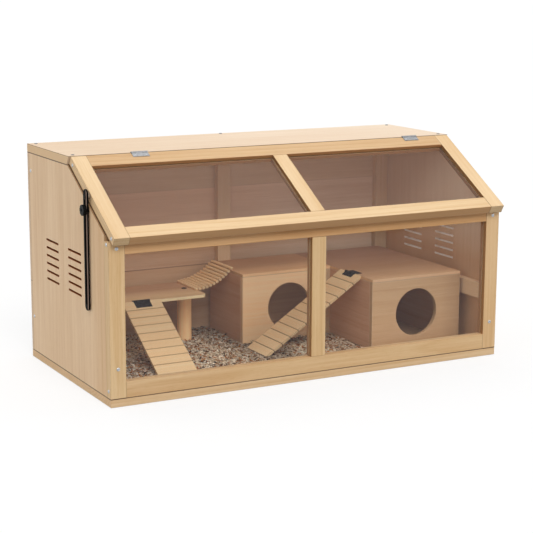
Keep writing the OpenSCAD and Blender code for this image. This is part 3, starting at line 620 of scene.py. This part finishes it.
def acrylicMaterial(name, s):
    mat, tree, shader, coords = startMaterial(name)
    smear = drawnNoise(tree, coords["Object"], s["smearWaves"], 4.0, 0.6)
    tree.links.new(remap(tree, smear, *s["smearCut"], *s["rough"]), shader.inputs["Roughness"])
    shader.inputs["Base Color"].default_value = paint(*s["tint"])
    shader.inputs["Alpha"].default_value = s["cover"]
    shader.inputs["IOR"].default_value = s["index"]
    return mat


# plated steel: crystal patches of slightly different greys under fine rolling lines
zincBase = {"lineWaves": (160, 2600, 2600), "lines": 0.4, "patches": 0.6, "relief": (0.15, 0.0001)}
zincSet = {
    "zincSteel": {"dark": (130, 131, 133), "pale": (170, 171, 173), "fine": 420, "rough": (0.3, 0.45)},
    "screwZinc": {"dark": (150, 152, 156), "pale": (206, 208, 210), "fine": 600, "rough": (0.3, 0.44)},
    # the roof's screws: a darker copy of the screw zinc, painted shade
    "shadedRoofZinc": {"dark": (84, 84, 86), "pale": (124, 124, 126), "fine": 600, "rough": (0.36, 0.5)},
}


def zincMaterial(name, s):
    mat, tree, shader, coords = startMaterial(name)
    cells = addNode(tree, "ShaderNodeTexVoronoi", {"Vector": coords["Object"], "Scale": s["fine"]})
    patches = maths(tree, "MULTIPLY", cells.outputs["Color"], s["patches"])
    lines = drawnNoise(tree, coords["Object"], s["lineWaves"])
    mottle = maths(tree, "MULTIPLY_ADD", lines, s["lines"], patches)
    colour = paintRamp(tree, mottle, [(0.2, s["dark"]), (0.8, s["pale"])])
    setSurface(tree, shader, s, colour, remap(tree, mottle, 0.2, 0.8, *s["rough"]), lines)
    shader.inputs["Metallic"].default_value = 1.0
    return mat


# black coat: fine orange peel, with greyer dust in its hollows; a painted light line on the outer face beside
# the slot is set by its middle and half width, in depth, and its colour
blackBase = {"grain": 900, "dustGrain": 60.0, "peel": 0.3, "dust": 0.7, "rough": (0.4, 0.5),
             "relief": (0.25, 0.0001), "litLineCore": 0.6, "litLineLean": (0.5, 0.8)}
blackSet = {
    "blackSteel": {"dark": (3, 3, 3), "pale": (10, 10, 10), "sheen": 0.05},
    "slottedSteel": {"dark": (2, 2, 2), "pale": (7, 7, 7), "sheen": 0.02,
                     "litLine": (-0.1428, 0.0036, (142, 120, 106))},
    "bareSteel": {"dark": (128, 110, 92), "pale": (160, 140, 118), "sheen": 0.3},
    "blackPlastic": {"dark": (4, 4, 4), "pale": (11, 11, 11), "sheen": 0.08,
                     "grain": 1600, "rough": (0.36, 0.5)},
    "hingeBlack": {"dark": (18, 18, 19), "pale": (38, 38, 40), "sheen": 0.12,
                   "grain": 1100, "rough": (0.5, 0.66)},
}


def blackMaterial(name, s):
    mat, tree, shader, coords = startMaterial(name)
    peel = noiseField(tree, coords["Object"], 2.0, 0.5, s["grain"])
    dust = noiseField(tree, coords["Object"], 4.0, 0.6, s["dustGrain"])
    mottle = maths(tree, "MULTIPLY_ADD", dust, s["dust"], maths(tree, "MULTIPLY", peel, s["peel"]))
    colour = paintRamp(tree, mottle, [(0.35, s["dark"]), (0.75, s["pale"])])
    # a painted light line on the outer face beside the slot
    if "litLine" in s:
        middle, half, lineTone = s["litLine"]
        strip = remap(tree, planeGap(tree, coords, frontal, middle), half * s["litLineCore"], half, 1.0, 0.0)
        outer = remap(tree, leanTo(tree, coords, sideways), *s["litLineLean"], 0.0, 1.0)
        colour = mixColour(tree, maths(tree, "MULTIPLY", strip, outer), colour, paint(*lineTone))
    setSurface(tree, shader, s, colour, spanNoise(tree, dust, *s["rough"]), peel)
    return mat


finishes = {"clearAcrylic": acrylicMaterial("clearAcrylic", acrylicSet)}
for name, own in zincSet.items():
    finishes[name] = zincMaterial(name, {**zincBase, **own})
for name, own in blackSet.items():
    finishes[name] = blackMaterial(name, {**blackBase, **own})
print("finishes mixed:", len(finishes))


# how the pieces are softened: metres for the weld, degrees for the angles
dressSet = {"weld": 0.00001, "segments": 2, "bevelFrom": 40, "sharpFrom": 50, "weight": 100}


# shades round faces smooth and keeps edges past the angle sharp
def smoothGroup(angle):
    group = bpy.data.node_groups.new("smoothRounds", "GeometryNodeTree")
    for way in ("INPUT", "OUTPUT"):
        group.interface.new_socket("Geometry", in_out=way, socket_type="NodeSocketGeometry")
    start = addNode(group, "NodeGroupInput")
    kind = "GeometryNodeSetShadeSmooth"
    faces = addNode(group, kind, {"Geometry": start.outputs[0], "Shade Smooth": True}, domain="FACE")
    bends = addNode(group, "GeometryNodeInputMeshEdgeAngle")
    limits = {0: bends.outputs[0], 1: math.radians(angle)}
    sharp = addNode(group, "FunctionNodeCompare", limits, operation="GREATER_THAN")
    chosen = {"Geometry": faces.outputs[0], "Selection": sharp.outputs[0], "Shade Smooth": False}
    edges = addNode(group, kind, chosen, domain="EDGE")
    addNode(group, "NodeGroupOutput", {0: edges.outputs[0]})
    return group


smoothRounds = smoothGroup(dressSet["sharpFrom"])


def dress(name, mat, edge, s):
    obj = nodes[name]
    for slot in obj.material_slots:
        slot.material = mat
    if not obj.material_slots:
        obj.data.materials.append(mat)
    weld = obj.modifiers.new("joinCorners", "WELD")
    weld.merge_threshold = s["weld"]
    bevel = obj.modifiers.new("softEdge", "BEVEL")
    bevel.width = edge
    bevel.segments = s["segments"]
    bevel.limit_method = "ANGLE"
    bevel.angle_limit = math.radians(s["bevelFrom"])
    bevel.miter_outer = "MITER_ARC"
    obj.modifiers.new("smoothRounds", "NODES").node_group = smoothRounds
    evened = obj.modifiers.new("evenFaces", "WEIGHTED_NORMAL")
    evened.keep_sharp = True
    evened.weight = s["weight"]


# every wooden piece: its grain, its tone and how far its edges are rounded
boards = {
    "base_board": ("length", "base", 0.001),
    "left_side_panel": ("height", "panel", 0.0006),
    "right_side_panel": ("height", "rightPanel", 0.0006),
    "back_board_lower": ("length", "backLow", 0.0008),
    "back_board_middle": ("length", "back", 0.0003),
    "back_board_upper": ("length", "backTop", 0.0003),
    "back_center_batten": ("height", "post", 0.001),
    "back_left_post": ("height", "post", 0.001),
    "back_right_post": ("height", "cornerPost", 0.001),
    "front_left_post": ("height", "frame", 0.001),
    "front_right_post": ("height", "frame", 0.001),
    "front_top_rail": ("length", "topRail", 0.001),
    "front_bottom_rail": ("length", "lowRail", 0.001),
    "front_mullion": ("height", "frame", 0.001),
    "roof_panel": ("length", "roof", 0.001),
    "left_side_rail": ("depth", "post", 0.001),
    "right_side_rail": ("depth", "post", 0.001),
    "platform": ("length", "platform", 0.0012),
    "platform_leg": ("height", "round", 0.0008),
    "den_roof": ("length", "denRoof", 0.001),
    "den_left_front": ("length", "leftDen", 0.0009),
    "den_right_front": ("length", "rightDen", 0.0009),
    "den_left_wall": ("depth", "wall", 0.0009),
    "den_middle_wall": ("depth", "wall", 0.0009),
    "den_right_wall": ("depth", "wall", 0.0009),
    "bridge_left_cleat": ("depth", "ramp", 0.0022),
    "bridge_right_cleat": ("depth", "ramp", 0.0022),
    "bridge_dowels": ("depth", "ramp", 0.0007),
    "lid_left_stile": ("lidSlope", "lidSide", 0.001),
    "lid_right_stile": ("lidSlope", "lidSide", 0.001),
    "lid_top_rail": ("length", "lidTop", 0.001),
    "lid_bottom_rail": ("length", "lid", 0.001),
    "lid_mullion": ("lidSlope", "lidSide", 0.001),
    "left_ramp": ("length", "ramp", 0.0006),
    "right_ramp": ("depth", "ramp", 0.0006),
}
for index, (name, (grain, tone, edge)) in enumerate(boards.items()):
    wood = woodMaterial("wood_" + name, nodes[name], grain, tone, seams.get(name), woodSet["seed"] + index)
    dress(name, wood, edge, dressSet)
print("boards dressed:", len(boards))

# the other pieces that are shown as they are, by their finish and how far their edges are rounded
fittings = {
    ("clearAcrylic", 0.0003): ["front_left_pane", "front_right_pane", "lid_left_pane", "lid_right_pane"],
    ("zincSteel", 0.0002): ["left_hinge_roof_leaf", "right_hinge_roof_leaf",
                            "left_hinge_lid_leaf", "right_hinge_lid_leaf"],
    ("hingeBlack", 0.0002): ["left_ramp_fixed_leaf", "right_ramp_fixed_leaf",
                             "left_ramp_leaf", "right_ramp_leaf"],
    ("blackSteel", 0.0002): ["stay_stud"],
    ("blackSteel", 0.0003): ["stay_rivet"],
    ("bareSteel", 0.0002): ["stay_pivot"],
    ("slottedSteel", 0.0004): ["stay_bar"],
    ("blackPlastic", 0.0004): ["leg_screw"],
    ("blackPlastic", 0.0007): ["stay_knob"],
}
for (finish, edge), names in fittings.items():
    for name in names:
        dress(name, finishes[finish], edge, dressSet)
print("fittings dressed")


def newPiece(name, verts, quads, mat, body, smooth=True):
    mesh = bpy.data.meshes.new(name)
    mesh.from_pydata(verts.tolist(), [], quads.tolist())
    mesh.polygons.foreach_set("use_smooth", np.full(len(mesh.polygons), smooth))
    mesh.materials.append(mat)
    mesh.update()
    obj = bpy.data.objects.new(name, mesh)
    scene.collection.objects.link(obj)
    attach(obj, body)
    return obj


# quads of a grid of rows by columns, joined round from the last column to the first
def ringQuads(rows, cols):
    i, j = np.meshgrid(np.arange(rows - 1), np.arange(cols), indexing="ij")
    k = (j + 1) % cols
    return np.stack((i * cols + j, i * cols + k, (i + 1) * cols + k, (i + 1) * cols + j), -1).reshape(-1, 4)


# several sheets as one: the corners of each are counted on from those before it
def joinSheets(sheets):
    starts = np.cumsum([0] + [len(verts) for verts, quads in sheets])
    verts = np.concatenate([verts for verts, quads in sheets])
    return verts, np.concatenate([quads + start for (_, quads), start in zip(sheets, starts)])


# screw heads, metres; the slot and the dome are shares of the radius and of the height
screwSet = {
    "radius": 0.004,
    "height": 0.0018,
    "rings": 15,
    "turns": 40,
    "domeFall": 0.55,
    "domePower": 2.4,
    "slotLong": 0.58,
    "slotWide": 0.17,
    "slotDeep": 0.62,
    "slotSlope": (0.05, 0.1),  # of its sides and of its ends
    "aside": (0.3, 0.5, 0.81),  # the cross is turned by this direction
}


# screw head: a dome over a polar grid, rim lowest, with a cross pressed in where one of the two
# flat coordinates is small and the other is short of the slot's end
def screwHead(s, radius, height):
    rho = np.concatenate((np.linspace(0.02, 0.98, s["rings"]), (1.0, 1.0)))
    theta = np.linspace(0, 2 * np.pi, s["turns"], endpoint=False)
    p, t = np.meshgrid(rho, theta, indexing="ij")
    x, y = p * np.cos(t), p * np.sin(t)
    near = np.minimum(abs(x), abs(y))
    far = np.maximum(abs(x), abs(y))
    side, end = s["slotSlope"]
    inSlot = np.clip((s["slotWide"] - near) / side, 0, 1) * np.clip((s["slotLong"] - far) / end, 0, 1)
    z = 1 - s["domeFall"] * p ** s["domePower"] - inSlot * s["slotDeep"]
    z[-1] = 0.0
    z[0] = z[0].mean()
    verts = np.stack((x * radius, y * radius, z * height), -1).reshape(-1, 3)
    return verts, ringQuads(len(rho), s["turns"])


# places and outward directions of screws: head axes are built from each direction and a cross product
def screwSheet(spots, s):
    sheets = []
    for place, out, radius in spots:
        head, quads = screwHead(s, radius, s["height"] * radius / s["radius"])
        out = np.array(out, float)
        side = np.cross(out, s["aside"])
        side /= np.linalg.norm(side)
        axes = np.stack((side, np.cross(out, side), out))
        sheets.append((head @ axes + np.array(place), quads))
    return joinSheets(sheets)


# point on the lid: down the slope, out of its top face
def onLid(x, down, out):
    p = np.array(hingeLine) + down * np.array(downLid) + out * np.array(outLid)
    return (x, p[1], p[2])


# the screws of each sheet: place, outward direction and radius, metres
wide, slim = screwSet["radius"], 0.0024
screwSpots = {
    "front_screws": [((k * 0.482, -0.248, z), (0, -1, 0), wide) for k in ends for z in (0.34308, 0.083)],
    "roof_screws": [((x, y, 0.513), (0, 0, 1), wide) for x, y in (
        (-0.484, 0.231), (-0.484, -0.008), (0, 0.238), (0.484, 0.231), (0.484, -0.008))],
    "lid_screws": [(onLid(k * 0.496, down, -0.01), (k, 0, 0), wide) for k in ends for down in (0.02, 0.272)]
    + [(onLid(x + k * 0.014, 0.011, 0.0015), outLid, slim) for x in (-0.333, 0.385) for k in ends],
}
for k, side in zip(ends, ("left", "right")):
    screwSpots[side + "_side_screws"] = [((k * 0.5, y, z), (k, 0, 0), wide) for y, z in (
        (0.227, 0.451), (0.227, 0.1026), (-0.237, 0.35148), (-0.237, 0.034))]


def allScrews(spots, s):
    for name, group in spots.items():
        body = "lid" if name == "lid_screws" else "cage"
        # the roof's screws take the darker zinc, painted shade
        mat = finishes["shadedRoofZinc" if name == "roof_screws" else "screwZinc"]
        piece = newPiece(name + "_heads", *screwSheet(group, s), mat, body)
        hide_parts(name)


allScrews(screwSpots, screwSet)
print("screws set")


# bridge cords: lengths are metres, left and right are the ends' x and z, rows are the cords' y
cordSet = {
    "left": (-0.128, 0.155),
    "right": (-0.038, 0.198),
    "sag": 0.010,
    "rows": (0.116, 0.202),
    "radius": 0.00105,
    "strands": 3,
    "strand": 0.00056,  # radius of one strand
    "turn": 0.0064,  # length of one winding
    "stations": 161,
    "sides": 8,
    "dark": (150, 116, 78),
    "pale": (214, 186, 146),
    "fibreWaves": (600, 2400, 1600),
    "rough": (0.95, 0.8),
    "sheen": 0.2,
    "relief": (0.5, 0.0001),
}


# cord: strands wound about an arc that sags below the line between its ends; each strand is a tube
# whose centre circles the arc once per turn, and whose radius falls to nothing at both ends
def bridgeCords(s, mat):
    a, b = np.array(s["left"]), np.array(s["right"])
    chord = np.hypot(*(b - a))
    bend = (chord ** 2 / 4 + s["sag"] ** 2) / (2 * s["sag"])
    along = (b - a) / chord
    centre = (a + b) / 2 + (bend - s["sag"]) * np.array((-along[1], along[0]))
    half = math.asin(chord / 2 / bend)
    start = math.atan2(along[1], along[0]) - math.pi / 2
    t = np.concatenate(([-half], np.linspace(-half, half, s["stations"]), [half])) + start
    fade = np.ones(len(t))
    fade[[0, -1]] = 0
    psi = np.linspace(0, 2 * np.pi, s["sides"], endpoint=False)
    t, psi = np.meshgrid(t, psi, indexing="ij")
    orbit, tube = s["radius"] - s["strand"], s["strand"] * fade[:, None]
    sheets = []
    for y in s["rows"]:
        for k in range(s["strands"]):
            phi = 2 * np.pi * ((t - start) * bend / s["turn"] + k / s["strands"])
            out = orbit * np.cos(phi) + tube * np.cos(psi)
            side = orbit * np.sin(phi) + tube * np.sin(psi)
            x, z = centre[0] + (bend + out) * np.cos(t), centre[1] + (bend + out) * np.sin(t)
            sheets.append((np.stack((x, y + side, z), -1).reshape(-1, 3), ringQuads(*t.shape)))
    piece = newPiece("bridge_cord_strands", *joinSheets(sheets), mat, "cage")
    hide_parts("bridge_cords")


# cord fibre: two tones of fine noise, drawn out along the bridge
def cordMaterial(name, s):
    mat, tree, shader, coords = startMaterial(name)
    fibre = drawnNoise(tree, coords["Object"], s["fibreWaves"], 3.0, 0.6)
    colour = paintRamp(tree, fibre, [(0.3, s["dark"]), (0.7, s["pale"])])
    setSurface(tree, shader, s, colour, spanNoise(tree, fibre, *s["rough"]), fibre)
    return mat


bridgeCords(cordSet, cordMaterial("bridgeCord", cordSet))
print("cords wound")


# litter, metres: a lumpy bed under two layers of loose shavings, each with its spacing, lift and tilt
litterSet = {
    "floor": 0.0182,
    "bedTop": 0.0243,
    "lump": 0.00144,
    "crumb": 0.0006,  # random part of the bed's height
    "cell": 0.004,
    "bedMargin": 0.0002,
    "layers": ((0.0050, 0.0002, 0.18), (0.0074, 0.0018, 0.36)),
    "zones": {"left": (-0.5, -0.27), "middle": (-0.27, -0.04), "right": (-0.04, 0.5)},
    "margin": 0.0066,
    "scatter": 1.3,  # how far places stray, in spacings
    "long": (0.0052, 0.0108),
    "wide": (0.0023, 0.0045),
    "thick": 0.0007,
    "taper": 0.7,  # how much an end may narrow
    "curl": (-0.12, 0.28),  # in lengths
    "skew": 0.2,  # in widths
    "flatTilt": 0.12,  # tilt under the ramps
    "rollMore": 1.3,  # roll over pitch
    "raise": 0.7,  # how much of what hangs below its middle is lifted out of the bed
    "brown": (0.14, 0.46),  # share of brown shavings, from patch to patch
    "brownEnd": 0.34,  # where the brown tones end
    "seed": 7,
}
# strips under the ramps where the shavings lie flat
rampShade = [(-0.36, -0.24, -0.165, 0.06), (-0.08, 0.21, -0.125, 0.005)]

# areas that stay bare: posts, batten and den, each as low x, high x, low y, high y
litterGaps = [
    (-0.482, -0.446, 0.218, 0.236), (-0.018, 0.018, 0.218, 0.236), (0.446, 0.482, 0.218, 0.236),
    (-0.04, denBend, 0.038, 0.236), (0.2039, 0.455, -0.16, 0.236),
]
litterEdge = (-0.482, 0.482, -0.226, 0.236)
legSpot = (-0.1475, 0.1414, 0.0180)  # x, y and radius


# true inside a box of low x, high x, low y, high y that is widened by a margin
def inBox(x, y, box, margin=0.0):
    a, b, c, d = box
    return (x > a - margin) & (x < b + margin) & (y > c - margin) & (y < d + margin)


# true where a point on the floor, kept a margin away from walls, posts and the leg, holds litter
def onLitter(x, y, margin):
    ok = inBox(x, y, litterEdge, -margin)
    for gap in litterGaps:
        ok &= ~inBox(x, y, gap, margin)
    return ok & (np.hypot(x - legSpot[0], y - legSpot[1]) > legSpot[2] + margin)


# height of the bed: slow lumps, which are a few crossing sine waves of different lengths
def bedHeight(s, x, y):
    slow = np.sin(41 * x + 17 * y) + np.sin(29 * y - 23 * x + 1.3)
    quick = np.sin(77 * x + 1.9) * np.cos(69 * y)
    return s["bedTop"] + s["lump"] * (slow + 0.6 * quick) / 2.6


# bed: a height field of lumps over the cells that hold litter, closed by a flat underside and by
# walls wherever a kept cell has no neighbour
def litterBed(s, mat):
    cell = s["cell"]
    x = np.arange(litterEdge[0], litterEdge[1] + 1e-6, cell)
    y = np.arange(litterEdge[2], litterEdge[3] + 1e-6, cell)
    gx, gy = np.meshgrid(x, y, indexing="ij")
    rng = np.random.default_rng(s["seed"])
    top = bedHeight(s, gx, gy) + rng.uniform(-s["crumb"], s["crumb"], gx.shape)
    cols = len(y)
    upper = np.stack((gx, gy, top), -1).reshape(-1, 3)
    lower = np.stack((gx, gy, np.full(gx.shape, s["floor"])), -1).reshape(-1, 3)
    ci, cj = np.meshgrid(np.arange(len(x) - 1), np.arange(cols - 1), indexing="ij")
    midX, midY = gx[:-1, :-1] + cell / 2, gy[:-1, :-1] + cell / 2
    keep = np.pad(onLitter(midX, midY, cell / 2 + s["bedMargin"]), 1)
    mid = keep[1:-1, 1:-1]
    n = len(upper)
    a, b, c, d = ci * cols + cj, (ci + 1) * cols + cj, (ci + 1) * cols + cj + 1, ci * cols + cj + 1
    quads = [np.stack((a, b, c, d), -1)[mid], np.stack((d, c, b, a), -1)[mid] + n]
    sides = ((a, b, keep[1:-1, :-2]), (b, c, keep[2:, 1:-1]), (c, d, keep[1:-1, 2:]), (d, a, keep[:-2, 1:-1]))
    for p, q, beside in sides:
        quads.append(np.stack((q, p, p + n, q + n), -1)[mid & ~beside])
    used, back = np.unique(np.concatenate(quads), return_inverse=True)
    verts = np.concatenate((upper, lower))[used]
    return newPiece("litter_bed", verts, back.reshape(-1, 4), mat, "cage", False)


# a pair of coordinates turned by an angle
def turnPair(a, b, angle):
    return a * np.cos(angle) - b * np.sin(angle), a * np.sin(angle) + b * np.cos(angle)


# shaving: a flat strip of three stations, bent along its length, with a pointed or square end;
# every copy is scaled, curled, tilted and turned by its own random numbers in one array
def shavings(s, x, y, rng, lift, tilt):
    n = len(x)
    loose = np.ones(n)
    for strip in rampShade:
        loose *= ~inBox(x, y, strip)
    tilt = (s["flatTilt"] + (tilt - s["flatTilt"]) * loose)[:, None]
    long = rng.uniform(*s["long"], (n, 1))
    wide = rng.uniform(*s["wide"], (n, 1))
    u, v, w = (g.ravel() for g in np.meshgrid((-0.5, 0.0, 0.5), (-0.5, 0.5), (-0.5, 0.5), indexing="ij"))
    narrow = 1 - rng.uniform(0, s["taper"], (n, 1)) * (u > 0)
    curl = rng.uniform(*s["curl"], (n, 1)) * long
    skew = rng.uniform(-s["skew"], s["skew"], (n, 1)) * wide
    px = u * long
    py = v * wide * narrow + skew * (2 * u) ** 2
    pz = w * s["thick"] + curl * (0.25 - u ** 2) * 2
    pitch = rng.normal(0, tilt, (n, 1))
    roll = rng.normal(0, tilt * s["rollMore"], (n, 1))
    py, pz = turnPair(py, pz, roll)
    px, pz = turnPair(px, pz, pitch)
    px, py = turnPair(px, py, rng.uniform(0, 2 * np.pi, (n, 1)))
    base = bedHeight(s, x, y) + lift * loose
    pz = base[:, None] + pz - pz.min(1, keepdims=True) * s["raise"]
    verts = np.stack((x[:, None] + px, y[:, None] + py, pz), -1).reshape(-1, 3)
    half = np.array([(1, 5, 7, 3), (0, 2, 6, 4), (0, 4, 5, 1), (2, 3, 7, 6)])
    shape = np.concatenate((half, half + 4, [(0, 1, 3, 2), (8, 10, 11, 9)]))
    quads = (shape[None] + len(u) * np.arange(n)[:, None, None]).reshape(-1, 4)
    patch = 0.5 + 0.25 * np.sin(190 * x + 60 * y) + 0.25 * np.sin(170 * y - 90 * x + 2.0)
    brown = s["brown"][0] + (s["brown"][1] - s["brown"][0]) * patch
    pick = rng.uniform(0, 1, n)
    end = s["brownEnd"]
    tone = np.where(pick < brown, end * pick / brown, end + (1 - end) * (pick - brown) / (1 - brown))
    return verts, quads, np.repeat(tone, len(u))


# painted light and shade on the litter: its tones lifted where light falls and darkened in the shade of the
# den, the ramps and the platform, along the cage and towards its back
litterShade = [
    shade(sideways, -0.3, -0.22, even(1), (1.26, 1.23, 1.14)),
    shade(sideways, -0.135, -0.055, even(1), (0.58, 0.55, 0.53)),
    shade(sideways, 0.0, 0.05, even(1), (1.85, 2.1, 2.3)),
    shade(sideways, 0.11, 0.13, even(1), (0.67, 0.58, 0.52)),
    shade(frontal, 0.06, 0.2, even(1), even(0.6), (-1, -0.04)),
    shade(frontal, -0.03, 0.02, even(1), even(0.62), (-0.04, 0.5)),
    shade(frontal, -0.035, 0.005, even(1), (0.42, 0.38, 0.34), (0, 0.115)),
    shade(frontal, 0.02, 0.1, even(1), (1.9, 1.88, 1.72), (-1, -0.24)),
]
chipSet = {
    "tones": [(0.0, (52, 34, 21)), (0.09, (88, 57, 32)), (0.13, (166, 100, 46)), (0.28, (194, 134, 76)),
              (0.34, (172, 146, 114)), (0.62, (224, 208, 184)), (1.0, (252, 245, 230))],
    "fibreWaves": (500, 500, 900),
    "fibreTone": (150, 118, 86),
    "fibreCut": (0.35, 0.7),
    "fibres": 0.35,
    "rough": (0.7, 0.92),
    "sheen": 0.25,
    "relief": (0.4, 0.0002),
}
# the bed's dark tones: painted shade in the gaps between the shavings
bedSet = {
    "tones": [(0.35, (64, 46, 31)), (0.65, (124, 97, 70))],
    "grain": 260.0,
    "rough": (0.8, 0.95),
    "relief": (0.6, 0.0008),
}


# shavings take one tone each from their own number; the bed mixes two dark tones by noise, painted shade in
# the gaps between the shavings; both then take the litter's painted light and shade
def chipMaterial(name, s):
    mat, tree, shader, coords = startMaterial(name)
    tone = addNode(tree, "ShaderNodeAttribute", attribute_name="chipTone").outputs["Fac"]
    fibre = drawnNoise(tree, coords["Object"], s["fibreWaves"], 3.0, 0.6)
    share = remap(tree, fibre, *s["fibreCut"], 0.0, s["fibres"])
    colour = mixColour(tree, share, paintRamp(tree, tone, s["tones"]), paint(*s["fibreTone"]), "MULTIPLY")
    colour = shaded(tree, coords, colour, litterShade)
    setSurface(tree, shader, s, colour, spanNoise(tree, fibre, *s["rough"]), fibre)
    return mat


def bedMaterial(name, s):
    mat, tree, shader, coords = startMaterial(name)
    crumbs = noiseField(tree, coords["Object"], 4.0, 0.7, s["grain"])
    colour = shaded(tree, coords, paintRamp(tree, crumbs, s["tones"]), litterShade)
    setSurface(tree, shader, s, colour, spanNoise(tree, crumbs, *s["rough"]), crumbs)
    return mat


def layLitter(s):
    chips = chipMaterial("woodShavings", chipSet)
    bed = litterBed(s, bedMaterial("litterBed", bedSet))
    pieces = [bed]
    for zone, (low, high) in s["zones"].items():
        rng = np.random.default_rng(s["seed"] + len(pieces))
        sheets, tones = [], []
        for pitch, lift, tilt in s["layers"]:
            steps = np.arange(low, high, pitch), np.arange(*litterEdge[2:], pitch)
            gx, gy = np.meshgrid(*steps, indexing="ij")
            x = (gx + rng.uniform(-0.5, 0.5, gx.shape) * pitch * s["scatter"]).ravel()
            y = (gy + rng.uniform(-0.5, 0.5, gy.shape) * pitch * s["scatter"]).ravel()
            ok = onLitter(x, y, s["margin"]) & (x >= low) & (x < high)
            verts, quads, tone = shavings(s, x[ok], y[ok], rng, lift, tilt)
            sheets.append((verts, quads))
            tones.append(tone)
        piece = newPiece("litter_shavings_" + zone, *joinSheets(sheets), chips, "cage", False)
        numbers = piece.data.attributes.new("chipTone", "FLOAT", "POINT")
        numbers.data.foreach_set("value", np.concatenate(tones))
        pieces.append(piece)
        print("shavings", zone, len(piece.data.polygons), "faces")
    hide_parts("litter")


layLitter(litterSet)
print("litter laid")
